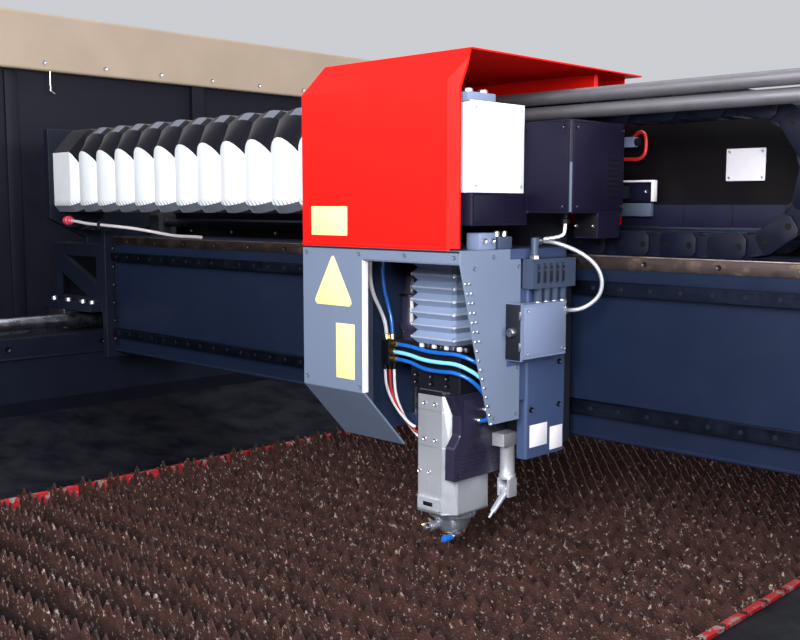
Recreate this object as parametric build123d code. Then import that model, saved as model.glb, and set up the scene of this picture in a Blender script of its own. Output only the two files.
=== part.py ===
from build123d import *
import math
import os

# Fiber laser cutting machine: a slatted cutting table between two side frames,
# a gantry that rides along them, a carriage on the gantry's beam and a vertical
# slide with the cutting head. Millimetres, X along the beam, Y along the
# machine, Z up. The origin lies on the floor at the middle of the machine.

# Whole machine
machine_length = 4200.0
machine_width = 3232.0
foot_height = 110.0
foot_pad_radius = 60.0
foot_pad_height = 25.0
foot_stem_radius = 22.0
feet_per_side = 4
plate = 12.0
sheet = 3.0
running_gap = 0.3
shaft_gap = 0.05

# Bed: side frames, cross beams and drawers
side_frame_width = 266.0
side_frame_top = 1158.0
rail_slab = 60.0
frame_bays = 4
cross_beam_depth = 120.0
cross_beam_height = 160.0
upper_beam_top = 860.0
drawer_width = 1482.0
drawer_height = 300.0
drawer_wall = 5.0
drawer_split = 40.0
drawer_front_height = 360.0
drawer_front_plate = 8.0
runner_thickness = 20.0
runner_width = 110.0
runner_lip = 40.0

# Slatted table
table_end_gap = 549.0
slat_field_width = 1590.0
slat_top = 870.0
slat_height = 100.0
slat_thickness = 5.0
slat_pitch = 77.0
tooth_pitch = 99.0
tooth_depth = 22.0
comb_thickness = 16.0
comb_drop = 28.0
slot_depth = 50.0
comb_foot = 62.0
table_beam_width = 80.0
table_beam_height = 140.0
table_beam_drop = 12.0
support_bar_width = 40.0
support_bar_x = 270.0
apron_sheet = 6.0
apron_rise = 94.0
apron_flange = 44.0

# Long guideways and their ball screws
y_rail_inset = 136.0
y_rail_width = 45.0
y_rail_height = 40.0
y_rail_front_gap = 600.0
y_rail_back_gap = 40.0
y_block_width = 100.0
y_block_length = 120.0
y_block_rise = 70.0
y_screw_inset = 230.0
y_screw_rise = 38.0
y_screw_radius = 20.0
y_journal_radius = 12.5
y_bearing_width = 64.0
y_bearing_length = 60.0
y_motor_size = 110.0
y_motor_length = 190.0

# Guard wall on the left side
guard_post = 50.0
guard_posts = 4
guard_top = 1964.0
guard_rail_width = 60.0
guard_rail_height = 177.0

# Gantry
beam_end_gap = 125.0
beam_front = 128.0
beam_depth = 330.0
beam_bottom = 1112.0
beam_top = 1455.0
end_plate = 24.0
base_front = 60.0
base_back = 520.0
base_plate = 24.0
base_reach = 320.0
shelf_top = 1430.0
gusset = 16.0
gusset_strip = 30.0
horn_front = -15.0
horn_back = 345.0
horn_top = 1768.0
x_rail_end_gap = 25.0
x_rail_width = 23.0
x_rail_depth = 22.0
x_rail_low = 1170.0
x_rail_high = 1395.0
rod_radius = 12.5
rod_y = 80.0
upper_rod_z = 1742.0
lower_rod_z = 1714.0
rod_slot_side = 35.0
rod_slot_gap = 8.0
x_screw_y = 270.0
x_screw_z = 1495.0
x_screw_radius = 12.5
x_journal_radius = 8.0
x_bearing_end_gap = 75.0
x_bearing_length = 50.0
x_bearing_width = 60.0
x_motor_size = 90.0
x_motor_length = 150.0
rear_cover_y = 340.0
rear_cover_top = 1740.0
duct_depth = 18.0
duct_bottom = 1497.0
duct_top = 1553.0

# Energy chain of the carriage
link_pitch = 46.0
link_height = 45.0
chain_front = 122.0
chain_width = 76.0
chain_bend_x = 787.0
lower_links = 19
upper_links = 11
bend_links = 8
link_notch = 7.0

# Silver bellows left of the carriage
bellows_pleats = 13
horn_offset = 101.0
collar_length = 100.0
bellows_skin = 2.5
bellows_depth = 20.0
bellows_top_depth = 9.0
bellows_front = 0.0
bellows_back = 160.0
bellows_bottom = 1527.0
bellows_shoulder = 1698.0
bellows_ridge = 1750.0
bellows_top = 1768.0

# Carriage
hood_left = 69.0
hood_width = 400.0
hood_front = -215.0
hood_back = 320.0
hood_bottom = 1470.0
hood_top = 1800.0
hood_chamfer_top = 52.0
hood_chamfer_front = 18.0
hood_slope_front = 26.0
hood_chamfer_left = 38.0
hood_chamfer_right = 31.0
hood_trim_right = 13.0
hood_trim_low = 65.0
hood_trim_high = 14.0
hood_back_gap = 39.0
hood_side_cut_front = 60.0
hood_side_cut_top = 1600.0
shell_front_bottom = 1205.0
shell_window_left = 236.0
shell_window_top = 1448.0
chin_back = -110.0
chin_bottom = 1093.0
side_panel_back = -55.0
side_panel_bottom = 1168.0
side_panel_toe = -136.0
side_panel_knee_y = -179.0
side_panel_knee_z = 1312.0
saddle_back = 98.0
saddle_plate = 20.0
saddle_bottom = 1105.0
bridge_bottom = 1560.0
bridge_plate = 25.0
bridge_back = 310.0
x_block_length = 70.0
x_block_height = 70.0
x_nut_length = 100.0
x_nut_width = 60.0
housing_bottom = 1090.0
housing_top = 1452.0
housing_front = -35.0
housing_shelf_front = -85.0
housing_wall = 24.0
housing_roof = 18.0
tongue_bottom = 1200.0
tongue_top = 1400.0
tongue_width = 20.0
control_left = 456.0
control_right = 566.0
control_front = -46.0
control_back = 116.0
control_bottom = 1532.0
control_top = 1688.0
lower_block_height = 55.0
gland_bottom = 1488.0
gland_front = 34.0
gland_back = 105.0
gland_width = 49.0
white_panel_front = -190.0
white_panel_left = 409.0
white_panel_bottom = 1566.0
white_panel_top = 1716.0
junction_depth = 31.0
junction_front = -95.0
junction_back = 41.0
junction_bottom = 1280.0
junction_top = 1375.0
valve_bottom = 1400.0
valve_front = -50.0
valve_back = 76.0
valve_depth = 23.0
z_motor_size = 80.0
z_motor_length = 170.0

# Vertical slide and cutting head
z_rail_left_x = 185.0
z_rail_right_x = 385.0
z_rail_width = 20.0
z_rail_depth = 16.0
z_rail_bottom = 1110.0
z_rail_top = 1440.0
z_block_width = 60.0
z_block_length = 50.0
z_block_depth = 28.0
z_block_low = 1200.0
z_block_high = 1270.0
z_plate_thickness = 20.0
z_plate_bottom = 1195.0
z_plate_top = 1325.0
z_plate_right = 415.0
z_screw_x = 125.0
z_screw_y = 38.0
z_screw_radius = 8.0
z_nut_size = 36.0
z_nut_length = 60.0
mount_front = -60.0
mount_top = 1285.0
z_bellows_left = 217.0
z_bellows_width = 116.0
z_bellows_front = -78.0
z_bellows_back = 20.0
z_bellows_pleats = 7
z_bellows_depth = 9.0
head_x = 262.0
head_half_width = 53.0
head_half_depth = 66.0
head_chamfer = 22.0
head_bottom = 955.0
head_top = 1195.0
cartridge_width = 48.0
cartridge_height = 18.0
cartridge_depth = 90.0
cartridge_bottom = 966.0
drive_depth = 22.0
drive_bottom = 1032.0
tip_z = 878.0
tip_length = 22.0
tip_radius = 13.0
ceramic_radius = 22.0
ceramic_height = 12.0
sensor_radius = 40.0
spray_y = 58.0
spray_radius = 14.5
spray_bottom = 1018.0
spray_top = 1085.0
spray_bracket_top = 1110.0
spray_pivot_z = 995.0
spray_pin_radius = 4.0
spray_eye_radius = 11.0
spray_reach = 70.0
spray_slope = 40.0
collimator_radius = 23.0
collimator_y = -34.0
collimator_length = 90.0
fibre_radius = 8.0
loop_cable_radius = 4.0
air_tube_radius = 4.0
signal_cable_radius = 3.0

manifold_size = 20.0
manifold_length = 49.0
spray_arm_gap = 0.5

# Cable routes: corner points chosen along the real cables
loop_cable_route = [(484, -20, 1483), (484, 4, 1483), (501, 28, 1475), (526, 48, 1461), (543, 68, 1440),
                    (549, 80, 1413), (543, 82, 1386), (526, 75, 1367), (503, 62, 1355), (469, 62, 1355)]
fibre_route = [(185, -34, 1409), (185, -34, 1480), (186, -14, 1548), (189, 30, 1605), (194, 88, 1648),
               (200, 148, 1668), (200, 215, 1668)]
supply_tube_routes = [
    [(152, -74, 1285), (152, -74, 1311), (137, -76, 1341), (116, -78, 1374), (105, -76, 1412),
     (107, -72, 1452), (122, -67, 1494), (150, -62, 1534), (186, -50, 1576), (217, -22, 1617),
     (231, 28, 1650), (234, 88, 1666), (234, 150, 1671), (234, 215, 1671)],
    [(161, -67, 1285), (161, -67, 1317), (149, -66, 1349), (134, -64, 1384), (127, -62, 1422),
     (131, -58, 1462), (147, -54, 1502), (173, -48, 1540), (203, -36, 1578), (228, -8, 1614),
     (242, 40, 1640), (246, 96, 1653), (246, 154, 1655), (246, 215, 1655)]]
air_tube_routes = [
    [(166, -66, 1276), (204, -66, 1276), (248, -68, 1270), (292, -67, 1269), (331, -66, 1271),
     (360, -55, 1262), (379, -33, 1242), (388, -6, 1216), (386, 16, 1188), (369, 24, 1168), (337, 24, 1168)],
    [(166, -75, 1262), (207, -75, 1262), (252, -77, 1254), (296, -76, 1253), (333, -71, 1254),
     (362, -55, 1240), (380, -33, 1216), (386, -12, 1190), (378, 1, 1168), (360, 4, 1159), (337, 4, 1159)],
    [(166, -68, 1247), (205, -68, 1247), (248, -72, 1236), (291, -73, 1235), (332, -72, 1238),
     (360, -56, 1224), (373, -35, 1197), (375, -23, 1171), (368, -17, 1151), (355, -16, 1141),
     (337, -16, 1141)]]
signal_cable_routes = [
    [(150, -76, 1236), (150, -76, 1211), (153, -74, 1187), (160, -67, 1163), (168, -57, 1142),
     (178, -46, 1123), (192, -40, 1111), (209, -40, 1111)],
    [(157, -70, 1236), (157, -70, 1208), (159, -68, 1181), (165, -61, 1156), (172, -50, 1133),
     (181, -38, 1112), (193, -31, 1098), (209, -31, 1098)],
    [(163, -64, 1236), (163, -64, 1204), (164, -61, 1174), (169, -53, 1146), (175, -42, 1121),
     (183, -29, 1099), (194, -22, 1085), (209, -22, 1085)]]

# Sizes that follow from the ones above
half_length = machine_length / 2
half_width = machine_width / 2
frame_inner = half_width - side_frame_width
frame_middle = half_width - side_frame_width / 2
beam_inner_y = half_length - cross_beam_depth
lower_beam_top = foot_height + cross_beam_height
table_length = machine_length - 2 * table_end_gap
slat_half = slat_field_width / 2
slat_bottom = slat_top - slat_height
slat_count = int((table_length - slat_pitch) / slat_pitch)
comb_outer = slat_half + comb_thickness
comb_top = slat_top - comb_drop
slot_floor = comb_top - slot_depth
table_half = table_length / 2
table_beam_top = comb_top - table_beam_drop
table_beam_bottom = table_beam_top - table_beam_height
table_beam_outer = comb_outer + table_beam_width
y_rail_x = half_width - y_rail_inset
y_rail_front = y_rail_front_gap - half_length
y_rail_back = half_length - y_rail_back_gap
y_screw_x = half_width - y_screw_inset
y_screw_z = side_frame_top + y_screw_rise
base_bottom = side_frame_top + y_block_rise
y_screw_front = y_rail_front - y_bearing_length
y_screw_back = y_rail_back - y_bearing_length + 10.0
beam_half = frame_inner - beam_end_gap
beam_back = beam_front + beam_depth
x_rail_half = beam_half - x_rail_end_gap
x_rail_levels = (x_rail_low, x_rail_high)
rod_levels = (upper_rod_z, lower_rod_z)
x_bearing_half = beam_half - x_bearing_end_gap
horn_face = beam_half + horn_offset
bracket_inner = beam_half + end_plate
bracket_outer = beam_half + base_reach
chain_back = chain_front + chain_width
lower_link_z = beam_top + running_gap + link_height / 2
bend_radius = link_pitch / (2 * math.sin(math.pi / (2 * bend_links)))
upper_link_z = lower_link_z + 2 * bend_radius
chain_end_x = chain_bend_x - upper_links * link_pitch
hood_right = hood_left + hood_width
saddle_front = saddle_back - saddle_plate
z_rail_xs = (z_rail_left_x, z_rail_right_x)
z_block_levels = (z_block_low, z_block_high)
housing_left = hood_left + sheet
z_rail_front = saddle_front - z_rail_depth
z_block_front = saddle_front - z_block_depth
z_plate_front = z_block_front - z_plate_thickness
nozzle_base = tip_z + tip_length + ceramic_height
z_plate_left = z_screw_x + z_nut_size / 2
spray_x = head_x + head_half_width + drive_depth + spray_radius + spray_arm_gap
collimator_x = z_plate_left + collimator_radius + 19
collimator_top = mount_top + collimator_length


def block(x, y, z):
    """Box between two X, two Y and two Z values, in any order."""
    size = [abs(pair[1] - pair[0]) for pair in (x, y, z)]
    middle = [(pair[0] + pair[1]) / 2 for pair in (x, y, z)]
    return Pos(*middle) * Box(*size)


def prism_x(points, x0, x1):
    """Outline of (Y, Z) points, drawn out along X."""
    outline = Plane(origin=(min(x0, x1), 0, 0), x_dir=(0, 1, 0), z_dir=(1, 0, 0))
    face = outline * make_face(Polyline(*points, close=True))
    return extrude(face, amount=abs(x1 - x0), dir=(1, 0, 0))


def prism_y(points, y0, y1):
    """Outline of (X, Z) points, drawn out along Y."""
    outline = Plane(origin=(0, min(y0, y1), 0), x_dir=(1, 0, 0), z_dir=(0, -1, 0))
    face = outline * make_face(Polyline(*points, close=True))
    return extrude(face, amount=abs(y1 - y0), dir=(0, 1, 0))


def prism_z(points, z0, z1):
    """Outline of (X, Y) points, drawn up along Z."""
    face = Plane(origin=(0, 0, z0)) * make_face(Polyline(*points, close=True))
    return extrude(face, amount=z1 - z0, dir=(0, 0, 1))


def rod_x(radius, x0, x1, y, z):
    """Round bar along X."""
    return Plane(origin=(x0, y, z), z_dir=(1, 0, 0)) * extrude(Circle(radius), amount=x1 - x0)


def rod_y_axis(radius, x, y0, y1, z):
    """Round bar along Y."""
    return Plane(origin=(x, y0, z), z_dir=(0, 1, 0)) * extrude(Circle(radius), amount=y1 - y0)


def rod_z(radius, x, y, z0, z1):
    """Round bar along Z."""
    return Pos(x, y, z0) * extrude(Circle(radius), amount=z1 - z0)


def mirrored(points, side):
    """The points with their first value on the given side, -1 or +1."""
    return [(side * a, b) for a, b in points]


def mount_servo(size, length):
    """Servo motor along local Z: flange at zero, chamfered body and rear cap."""
    half = size / 2
    body = Pos(0, 0, length * 0.38) * Box(size, size, length * 0.76)
    body = chamfer(body.edges().filter_by(Axis.Z), size * 0.12)
    cap = Pos(0, 0, length * 0.88) * Box(size * 0.84, size * 0.84, length * 0.24)
    cap = chamfer(cap.edges().filter_by(Axis.Z), size * 0.1)
    plug = Pos(half - size * 0.05, 0, length * 0.6) * Box(size * 0.3, size * 0.3, size * 0.24)
    return body + cap + plug


# Bed

def side_frame(side):
    """Welded box frame under one guideway, with a heavy slab below the rail."""
    frame = block((side * frame_inner, side * half_width), (-half_length, half_length),
                  (foot_height, side_frame_top))
    bay = (machine_length - plate * (frame_bays + 1)) / frame_bays
    for index in range(frame_bays):
        start = -half_length + plate + index * (bay + plate)
        frame -= block((side * (frame_inner + plate), side * (half_width - plate)),
                       (start, start + bay), (foot_height + plate, side_frame_top - rail_slab))
    motor_half = y_motor_size / 2
    frame -= block((side * (frame_inner - 1), side * (y_screw_x + motor_half + 5)),
                   (y_screw_front - y_motor_length - 5, y_screw_front),
                   (y_screw_z - motor_half, side_frame_top + 1))
    return frame


def end_cross_beams():
    """Upper and lower hollow beams that join the side frames at both ends."""
    beams = []
    for end in (-1, 1):
        for top in (lower_beam_top, upper_beam_top):
            y = (end * beam_inner_y, end * half_length)
            z = (top - cross_beam_height, top)
            tube = block((-frame_inner, frame_inner), y, z)
            inner_y = (end * (beam_inner_y + plate), end * (half_length - plate))
            inner_z = (z[0] + plate, z[1] - plate)
            beams.append(tube - block((-frame_inner, frame_inner), inner_y, inner_z))
    return beams


def table_frame():
    """Channel frame round the slats, with two long bars below their middles."""
    y = (-beam_inner_y, beam_inner_y)
    z = (table_beam_bottom, table_beam_top)
    frame = None
    for side in (-1, 1):
        beam = block((side * comb_outer, side * table_beam_outer), y, z)
        beam -= block((side * (comb_outer + plate), side * table_beam_outer), y,
                      (z[0] + plate, z[1] - plate))
        frame = beam if frame is None else frame + beam
    for end in (-1, 1):
        bar = block((-comb_outer, comb_outer), (end * table_half, end * (table_half + table_beam_width)), z)
        bar -= block((-comb_outer + plate, comb_outer - plate),
                     (end * (table_half + plate), end * (table_half + table_beam_width)),
                     (z[0] + plate, z[1] - plate))
        frame = frame + bar
    half_bar = support_bar_width / 2
    for side in (-1, 1):
        frame += block((side * support_bar_x - half_bar, side * support_bar_x + half_bar),
                       (-table_half, table_half), (table_beam_bottom, slat_bottom))
    return frame


def slat_places():
    """Y of each slat's middle, centred on the table."""
    first = -(slat_count - 1) * slat_pitch / 2
    return [first + index * slat_pitch for index in range(slat_count)]


def comb_rails():
    """Slotted plates that hold the ends of the slats."""
    half_slot = slat_thickness / 2 + running_gap
    bottom = slot_floor - comb_foot
    outline = [(-table_half, bottom), (-table_half, comb_top)]
    for y in slat_places():
        outline += [(y - half_slot, comb_top), (y - half_slot, slot_floor),
                    (y + half_slot, slot_floor), (y + half_slot, comb_top)]
    outline += [(table_half, comb_top), (table_half, bottom)]
    return [prism_x(outline, side * slat_half, side * comb_outer) for side in (-1, 1)]


def slats():
    """Toothed slats that carry the sheet, one solid each."""
    teeth = int(slat_field_width / tooth_pitch)
    pitch = slat_field_width / teeth
    end = comb_outer - running_gap
    outline = [(-slat_half, slat_bottom), (-slat_half, slot_floor), (-end, slot_floor),
               (-end, slat_top - tooth_depth), (-slat_half, slat_top - tooth_depth)]
    for index in range(teeth):
        start = -slat_half + index * pitch
        outline += [(start + pitch / 2, slat_top), (start + pitch, slat_top - tooth_depth)]
    outline += [(end, slat_top - tooth_depth), (end, slot_floor), (slat_half, slot_floor),
                (slat_half, slat_bottom)]
    one = prism_y(outline, -slat_thickness / 2, slat_thickness / 2)
    return [Pos(0, y, 0) * one for y in slat_places()]


def side_aprons():
    """Folded sheets that slope from the side frames down to the table."""
    low = table_beam_top
    high = low + apron_rise
    outline = [(comb_outer, low), (table_beam_outer + 3, low), (frame_inner, high),
               (frame_inner, high + apron_flange), (frame_inner - apron_sheet, high + apron_flange),
               (frame_inner - apron_sheet, high + apron_sheet - 1),
               (table_beam_outer + 2, low + apron_sheet), (comb_outer, low + apron_sheet)]
    return [prism_y(mirrored(outline, side), -beam_inner_y, beam_inner_y) for side in (-1, 1)]


def end_aprons():
    """Folded sheets between the slats and the end cross beams."""
    low = table_beam_top
    high = upper_beam_top
    knee = table_half + table_beam_width
    outline = [(table_half, low), (knee, low), (beam_inner_y, high), (half_length, high),
               (half_length, high + apron_sheet), (beam_inner_y - 1, high + apron_sheet),
               (knee - 1, low + apron_sheet), (table_half, low + apron_sheet)]
    return [prism_x(mirrored(outline, end), -comb_outer, comb_outer) for end in (-1, 1)]


def drawer_runners():
    """Angle rails on the lower cross beams that carry both drawers."""
    outer = drawer_width / 2 + running_gap + 8
    floor = lower_beam_top
    outline = [(outer - runner_width, floor), (outer, floor), (outer, floor + runner_thickness + runner_lip),
               (outer - 8, floor + runner_thickness + runner_lip), (outer - 8, floor + runner_thickness),
               (outer - runner_width, floor + runner_thickness)]
    end = half_length - drawer_front_plate - 10
    return [prism_y(mirrored(outline, side), -end, end) for side in (-1, 1)]


def slag_drawer(end):
    """Scrap drawer that slides out at one end, -1 in front and +1 behind."""
    half = drawer_width / 2
    floor = lower_beam_top + runner_thickness + running_gap
    front = half_length - 4
    panel_inner = front - drawer_front_plate
    tray = block((-half, half), (end * drawer_split / 2, end * panel_inner), (floor, floor + drawer_height))
    tray -= block((-half + drawer_wall, half - drawer_wall),
                  (end * (drawer_split / 2 + drawer_wall), end * (panel_inner - drawer_wall)),
                  (floor + drawer_wall, floor + drawer_height + 1))
    panel = block((-half - 20, half + 20), (end * panel_inner, end * front),
                  (floor + 4, floor + 4 + drawer_front_height))
    grip_z = floor + drawer_front_height * 0.75
    panel -= block((-170, 170), (end * (panel_inner - 1), end * (front + 1)), (grip_z - 25, grip_z + 25))
    return tray + panel


def levelling_feet():
    """Threaded feet under the side frames, each a pad with its stem."""
    feet = []
    spacing = (machine_length - 200) / (feet_per_side - 1)
    for side in (-1, 1):
        for index in range(feet_per_side):
            y = -half_length + 100 + index * spacing
            pad = rod_z(foot_pad_radius, side * frame_middle, y, 0, foot_pad_height)
            pad = chamfer(pad.edges().group_by(Axis.Z)[-1], 8)
            stem = rod_z(foot_stem_radius, side * frame_middle, y, foot_pad_height - 1, foot_height)
            nut = Pos(side * frame_middle, y, foot_height - 30) * extrude(
                RegularPolygon(foot_stem_radius * 1.6, 6), amount=18)
            feet.append(pad + stem + nut)
    return feet


def y_guide_rails():
    """Profiled rails on the side frames."""
    half = y_rail_width / 2
    top = side_frame_top + y_rail_height
    waist = half - 6
    profile = [(-half, side_frame_top), (half, side_frame_top), (half, side_frame_top + 10),
               (waist, side_frame_top + 16), (waist, top - 16), (half, top - 10), (half, top),
               (-half, top), (-half, top - 10), (-waist, top - 16), (-waist, side_frame_top + 16),
               (-half, side_frame_top + 10)]
    return [prism_y([(side * y_rail_x + a, b) for a, b in profile], y_rail_front, y_rail_back)
            for side in (-1, 1)]


def guide_rail_buffers():
    """Rubber stops at the ends of the rails."""
    stops = []
    for side in (-1, 1):
        for end, y in ((-1, y_rail_front), (1, y_rail_back)):
            foot = block((side * (y_rail_x - 35), side * (y_rail_x + 35)), (y, y + end * 20),
                         (side_frame_top, side_frame_top + y_block_rise - 5))
            pad = rod_y_axis(16, side * y_rail_x, min(y, y - end * 25), max(y, y - end * 25),
                             side_frame_top + y_rail_height + 18)
            stops.append(foot + pad)
    return stops


def y_screw_bearings():
    """Bearing blocks at both ends of the long ball screws."""
    blocks = []
    half = y_bearing_width / 2
    for side in (-1, 1):
        for start in (y_screw_front, y_screw_back):
            body = block((side * y_screw_x - half, side * y_screw_x + half),
                         (start, start + y_bearing_length), (side_frame_top, y_screw_z + half))
            body -= rod_y_axis(y_journal_radius + shaft_gap, side * y_screw_x, start - 1,
                               start + y_bearing_length + 1, y_screw_z)
            blocks.append(body)
    return blocks


def y_motors():
    """Drive motors at the front ends of the long ball screws."""
    motors = []
    for side in (-1, 1):
        servo = Plane(origin=(side * y_screw_x, y_screw_front, y_screw_z), x_dir=(0, 0, 1),
                      z_dir=(0, -1, 0)) * mount_servo(y_motor_size, y_motor_length)
        servo -= rod_y_axis(y_journal_radius + shaft_gap, side * y_screw_x, y_screw_front - 50,
                            y_screw_front + 1, y_screw_z)
        motors.append(servo)
    return motors


def y_screw(side):
    """Long ball screw with a journal at each end."""
    x = side * y_screw_x
    gap = 5.0
    thread = rod_y_axis(y_screw_radius, x, y_screw_front + y_bearing_length + gap, y_screw_back - gap,
                        y_screw_z)
    journal = rod_y_axis(y_journal_radius, x, y_screw_front - 45, y_screw_back + y_bearing_length, y_screw_z)
    return thread + journal


def guard_panel():
    """Posts and sheet of the guard wall that stands on the left side frame."""
    outer = -half_width
    sheet_x = outer + guard_post / 2
    end = half_length - 50
    wall = block((sheet_x, sheet_x + sheet), (-end, end), (side_frame_top, guard_top))
    spacing = (2 * end - guard_post) / (guard_posts - 1)
    for index in range(guard_posts):
        start = -end + index * spacing
        wall += block((outer, outer + guard_post), (start, start + guard_post), (side_frame_top, guard_top))
    return wall


def guard_top_rail():
    """Deep box rail along the top of the guard wall."""
    top = guard_top + guard_rail_height
    rail = block((-half_width, -half_width + guard_rail_width), (-half_length, half_length), (guard_top, top))
    rail = fillet(rail.edges().filter_by(Axis.Y), 8)
    return rail - block((-half_width + sheet, -half_width + guard_rail_width - sheet),
                        (-half_length + sheet, half_length - sheet), (guard_top + sheet, top - sheet))


# Gantry

def gantry_beam():
    """Hollow welded beam between the two end brackets."""
    beam = block((-beam_half, beam_half), (beam_front, beam_back), (beam_bottom, beam_top))
    beam -= block((-beam_half, beam_half), (beam_front + plate, beam_back - plate),
                  (beam_bottom + plate, beam_top - plate))
    foot_x = chain_bend_x - lower_links * link_pitch - running_gap
    return beam + block((foot_x - 16, foot_x), (beam_front, chain_back), (beam_top, lower_link_z + 20))


def end_bracket(side):
    """End plate, foot plate, shelf, horn and two braced gussets at one end of the beam."""
    back = beam_back + 22
    front = base_front + 40
    outline = [(front, beam_bottom - 22), (back, beam_bottom - 22), (back, beam_top), (horn_back, beam_top + 30)]
    horn = [(horn_back, horn_top), (horn_front, horn_top), (horn_front, bellows_bottom - 20)]
    if side > 0:
        bracket = prism_x(outline + horn + [(front, beam_top - 60)], beam_half, bracket_inner)
    else:
        bracket = prism_x(outline + [(front, beam_top + 30)], -beam_half, -bracket_inner)
        bracket += prism_x([(front, shelf_top), (horn_back, shelf_top)] + horn + [(front, shelf_top + 20)],
                           -horn_face, -horn_face - end_plate)
    base_top = base_bottom + base_plate
    bracket += block((side * bracket_inner, side * bracket_outer), (base_front, base_back),
                     (base_bottom, base_top))
    bracket += block((side * bracket_inner, side * bracket_outer), (base_front + 40, beam_back),
                     (shelf_top - base_plate, shelf_top))
    low = base_top
    high = shelf_top - base_plate
    inner = bracket_inner
    outer = bracket_outer
    strip = gusset_strip
    web = [(inner, low), (outer, low), (outer, high), (inner, high)]
    upper_hole = [(inner + strip, low + 2 * strip), (inner + strip, high - strip / 2),
                  (outer - 2.5 * strip, high - strip / 2)]
    lower_hole = [(inner + 2.5 * strip, low + strip / 2), (outer - strip, low + strip / 2),
                  (outer - strip, high - 2 * strip)]
    for start in (base_front + 40, beam_back - gusset):
        panel = prism_y(mirrored(web, side), start, start + gusset)
        for hole in (upper_hole, lower_hole):
            panel -= prism_y(mirrored(hole, side), start - 1, start + gusset + 1)
        bracket += panel
    if side > 0:
        bracket -= rod_x(x_journal_radius + 4, beam_half - 1, bracket_inner + 1, x_screw_y, x_screw_z)
    return bracket


def y_bearing_blocks():
    """Four guide carriages under the end brackets."""
    blocks = []
    half = y_block_width / 2
    channel = y_rail_width / 2 + running_gap
    for side in (-1, 1):
        for start in (base_front + 10, base_back - 10 - y_block_length):
            body = block((side * y_rail_x - half, side * y_rail_x + half), (start, start + y_block_length),
                         (side_frame_top + 8, base_bottom))
            body -= block((side * y_rail_x - channel, side * y_rail_x + channel),
                          (start - 1, start + y_block_length + 1),
                          (side_frame_top, side_frame_top + y_rail_height + running_gap))
            blocks.append(body)
    return blocks


def y_screw_nuts():
    """Nut housings that hang from the foot plates, on the long ball screws."""
    nuts = []
    half = y_bearing_width / 2
    middle = (base_front + base_back) / 2
    for side in (-1, 1):
        body = block((side * y_screw_x - half, side * y_screw_x + half), (middle - 50, middle + 50),
                     (y_screw_z - half + 2, base_bottom))
        nuts.append(body - rod_y_axis(y_screw_radius + shaft_gap, side * y_screw_x, middle - 51,
                                      middle + 51, y_screw_z))
    return nuts


def x_guide_rails():
    """Profiled rails on the front face of the beam."""
    half = x_rail_width / 2
    front = beam_front - x_rail_depth
    rails = []
    for level in x_rail_levels:
        profile = [(beam_front, level - half), (beam_front - 6, level - half),
                   (beam_front - 9, level - half + 3), (beam_front - 13, level - half + 3),
                   (beam_front - 16, level - half), (front, level - half), (front, level + half),
                   (beam_front - 16, level + half), (beam_front - 13, level + half - 3),
                   (beam_front - 9, level + half - 3), (beam_front - 6, level + half),
                   (beam_front, level + half)]
        rails.append(prism_x(profile, -x_rail_half, x_rail_half))
    return rails


def guide_rods():
    """Two round rods between the end plates that carry the bellows."""
    return [rod_x(rod_radius, -horn_face, beam_half, rod_y, level) for level in rod_levels]


def bellows_section(inset, top_inset):
    """Outline of the silver bellows in Y and Z, drawn in by the given amounts."""
    front = bellows_front + inset
    back = bellows_back - inset
    bottom = bellows_bottom + inset / 2
    top = bellows_top - top_inset
    ridge_y = bellows_front + 45
    return [(front, bottom + 18), (front + 15, bottom), (back, bottom), (back, top - 18), (back - 20, top),
            (ridge_y + 22, top), (ridge_y, bellows_ridge - top_inset), (front, bellows_shoulder - inset)]


def pleated_tube(sections):
    """Ruled body through (place, outline) pairs along X."""
    wires = []
    for place, outline in sections:
        plane = Plane(origin=(place, 0, 0), x_dir=(0, 1, 0), z_dir=(1, 0, 0))
        wires.append(plane * make_face(Polyline(*outline, close=True)))
    return loft(wires, ruled=True)


def left_bellows():
    """Pleated skin from its collar on the left horn to the carriage, open at both ends."""
    start = collar_length - horn_face + bellows_depth
    end = hood_left - running_gap
    half_pitch = (end - start) / (2 * bellows_pleats)
    outer = []
    inner = []
    for place in (-horn_face, collar_length - horn_face):
        outer.append((place, bellows_section(0.0, 0.0)))
        inner.append((place, bellows_section(bellows_skin, bellows_skin)))
    for index in range(2 * bellows_pleats + 1):
        place = start + index * half_pitch
        deep = index % 2 == 0
        inset = bellows_depth if deep else 0.0
        top_inset = bellows_top_depth if deep else 0.0
        outer.append((place, bellows_section(inset, top_inset)))
        inner.append((place, bellows_section(inset + bellows_skin, top_inset + bellows_skin)))
    return pleated_tube(outer) - pleated_tube(inner)


def chain_joints():
    """Link joints along the chain's middle line, with the way that each faces."""
    joints = []
    start = chain_bend_x - lower_links * link_pitch
    for index in range(lower_links + 1):
        joints.append((start + index * link_pitch, lower_link_z, 0.0))
    middle = (lower_link_z + upper_link_z) / 2
    for index in range(1, bend_links):
        angle = math.pi * index / bend_links
        joints.append((chain_bend_x + bend_radius * math.sin(angle),
                       middle - bend_radius * math.cos(angle), angle))
    for index in range(upper_links + 1):
        joints.append((chain_bend_x - index * link_pitch, upper_link_z, math.pi))
    return joints


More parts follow.
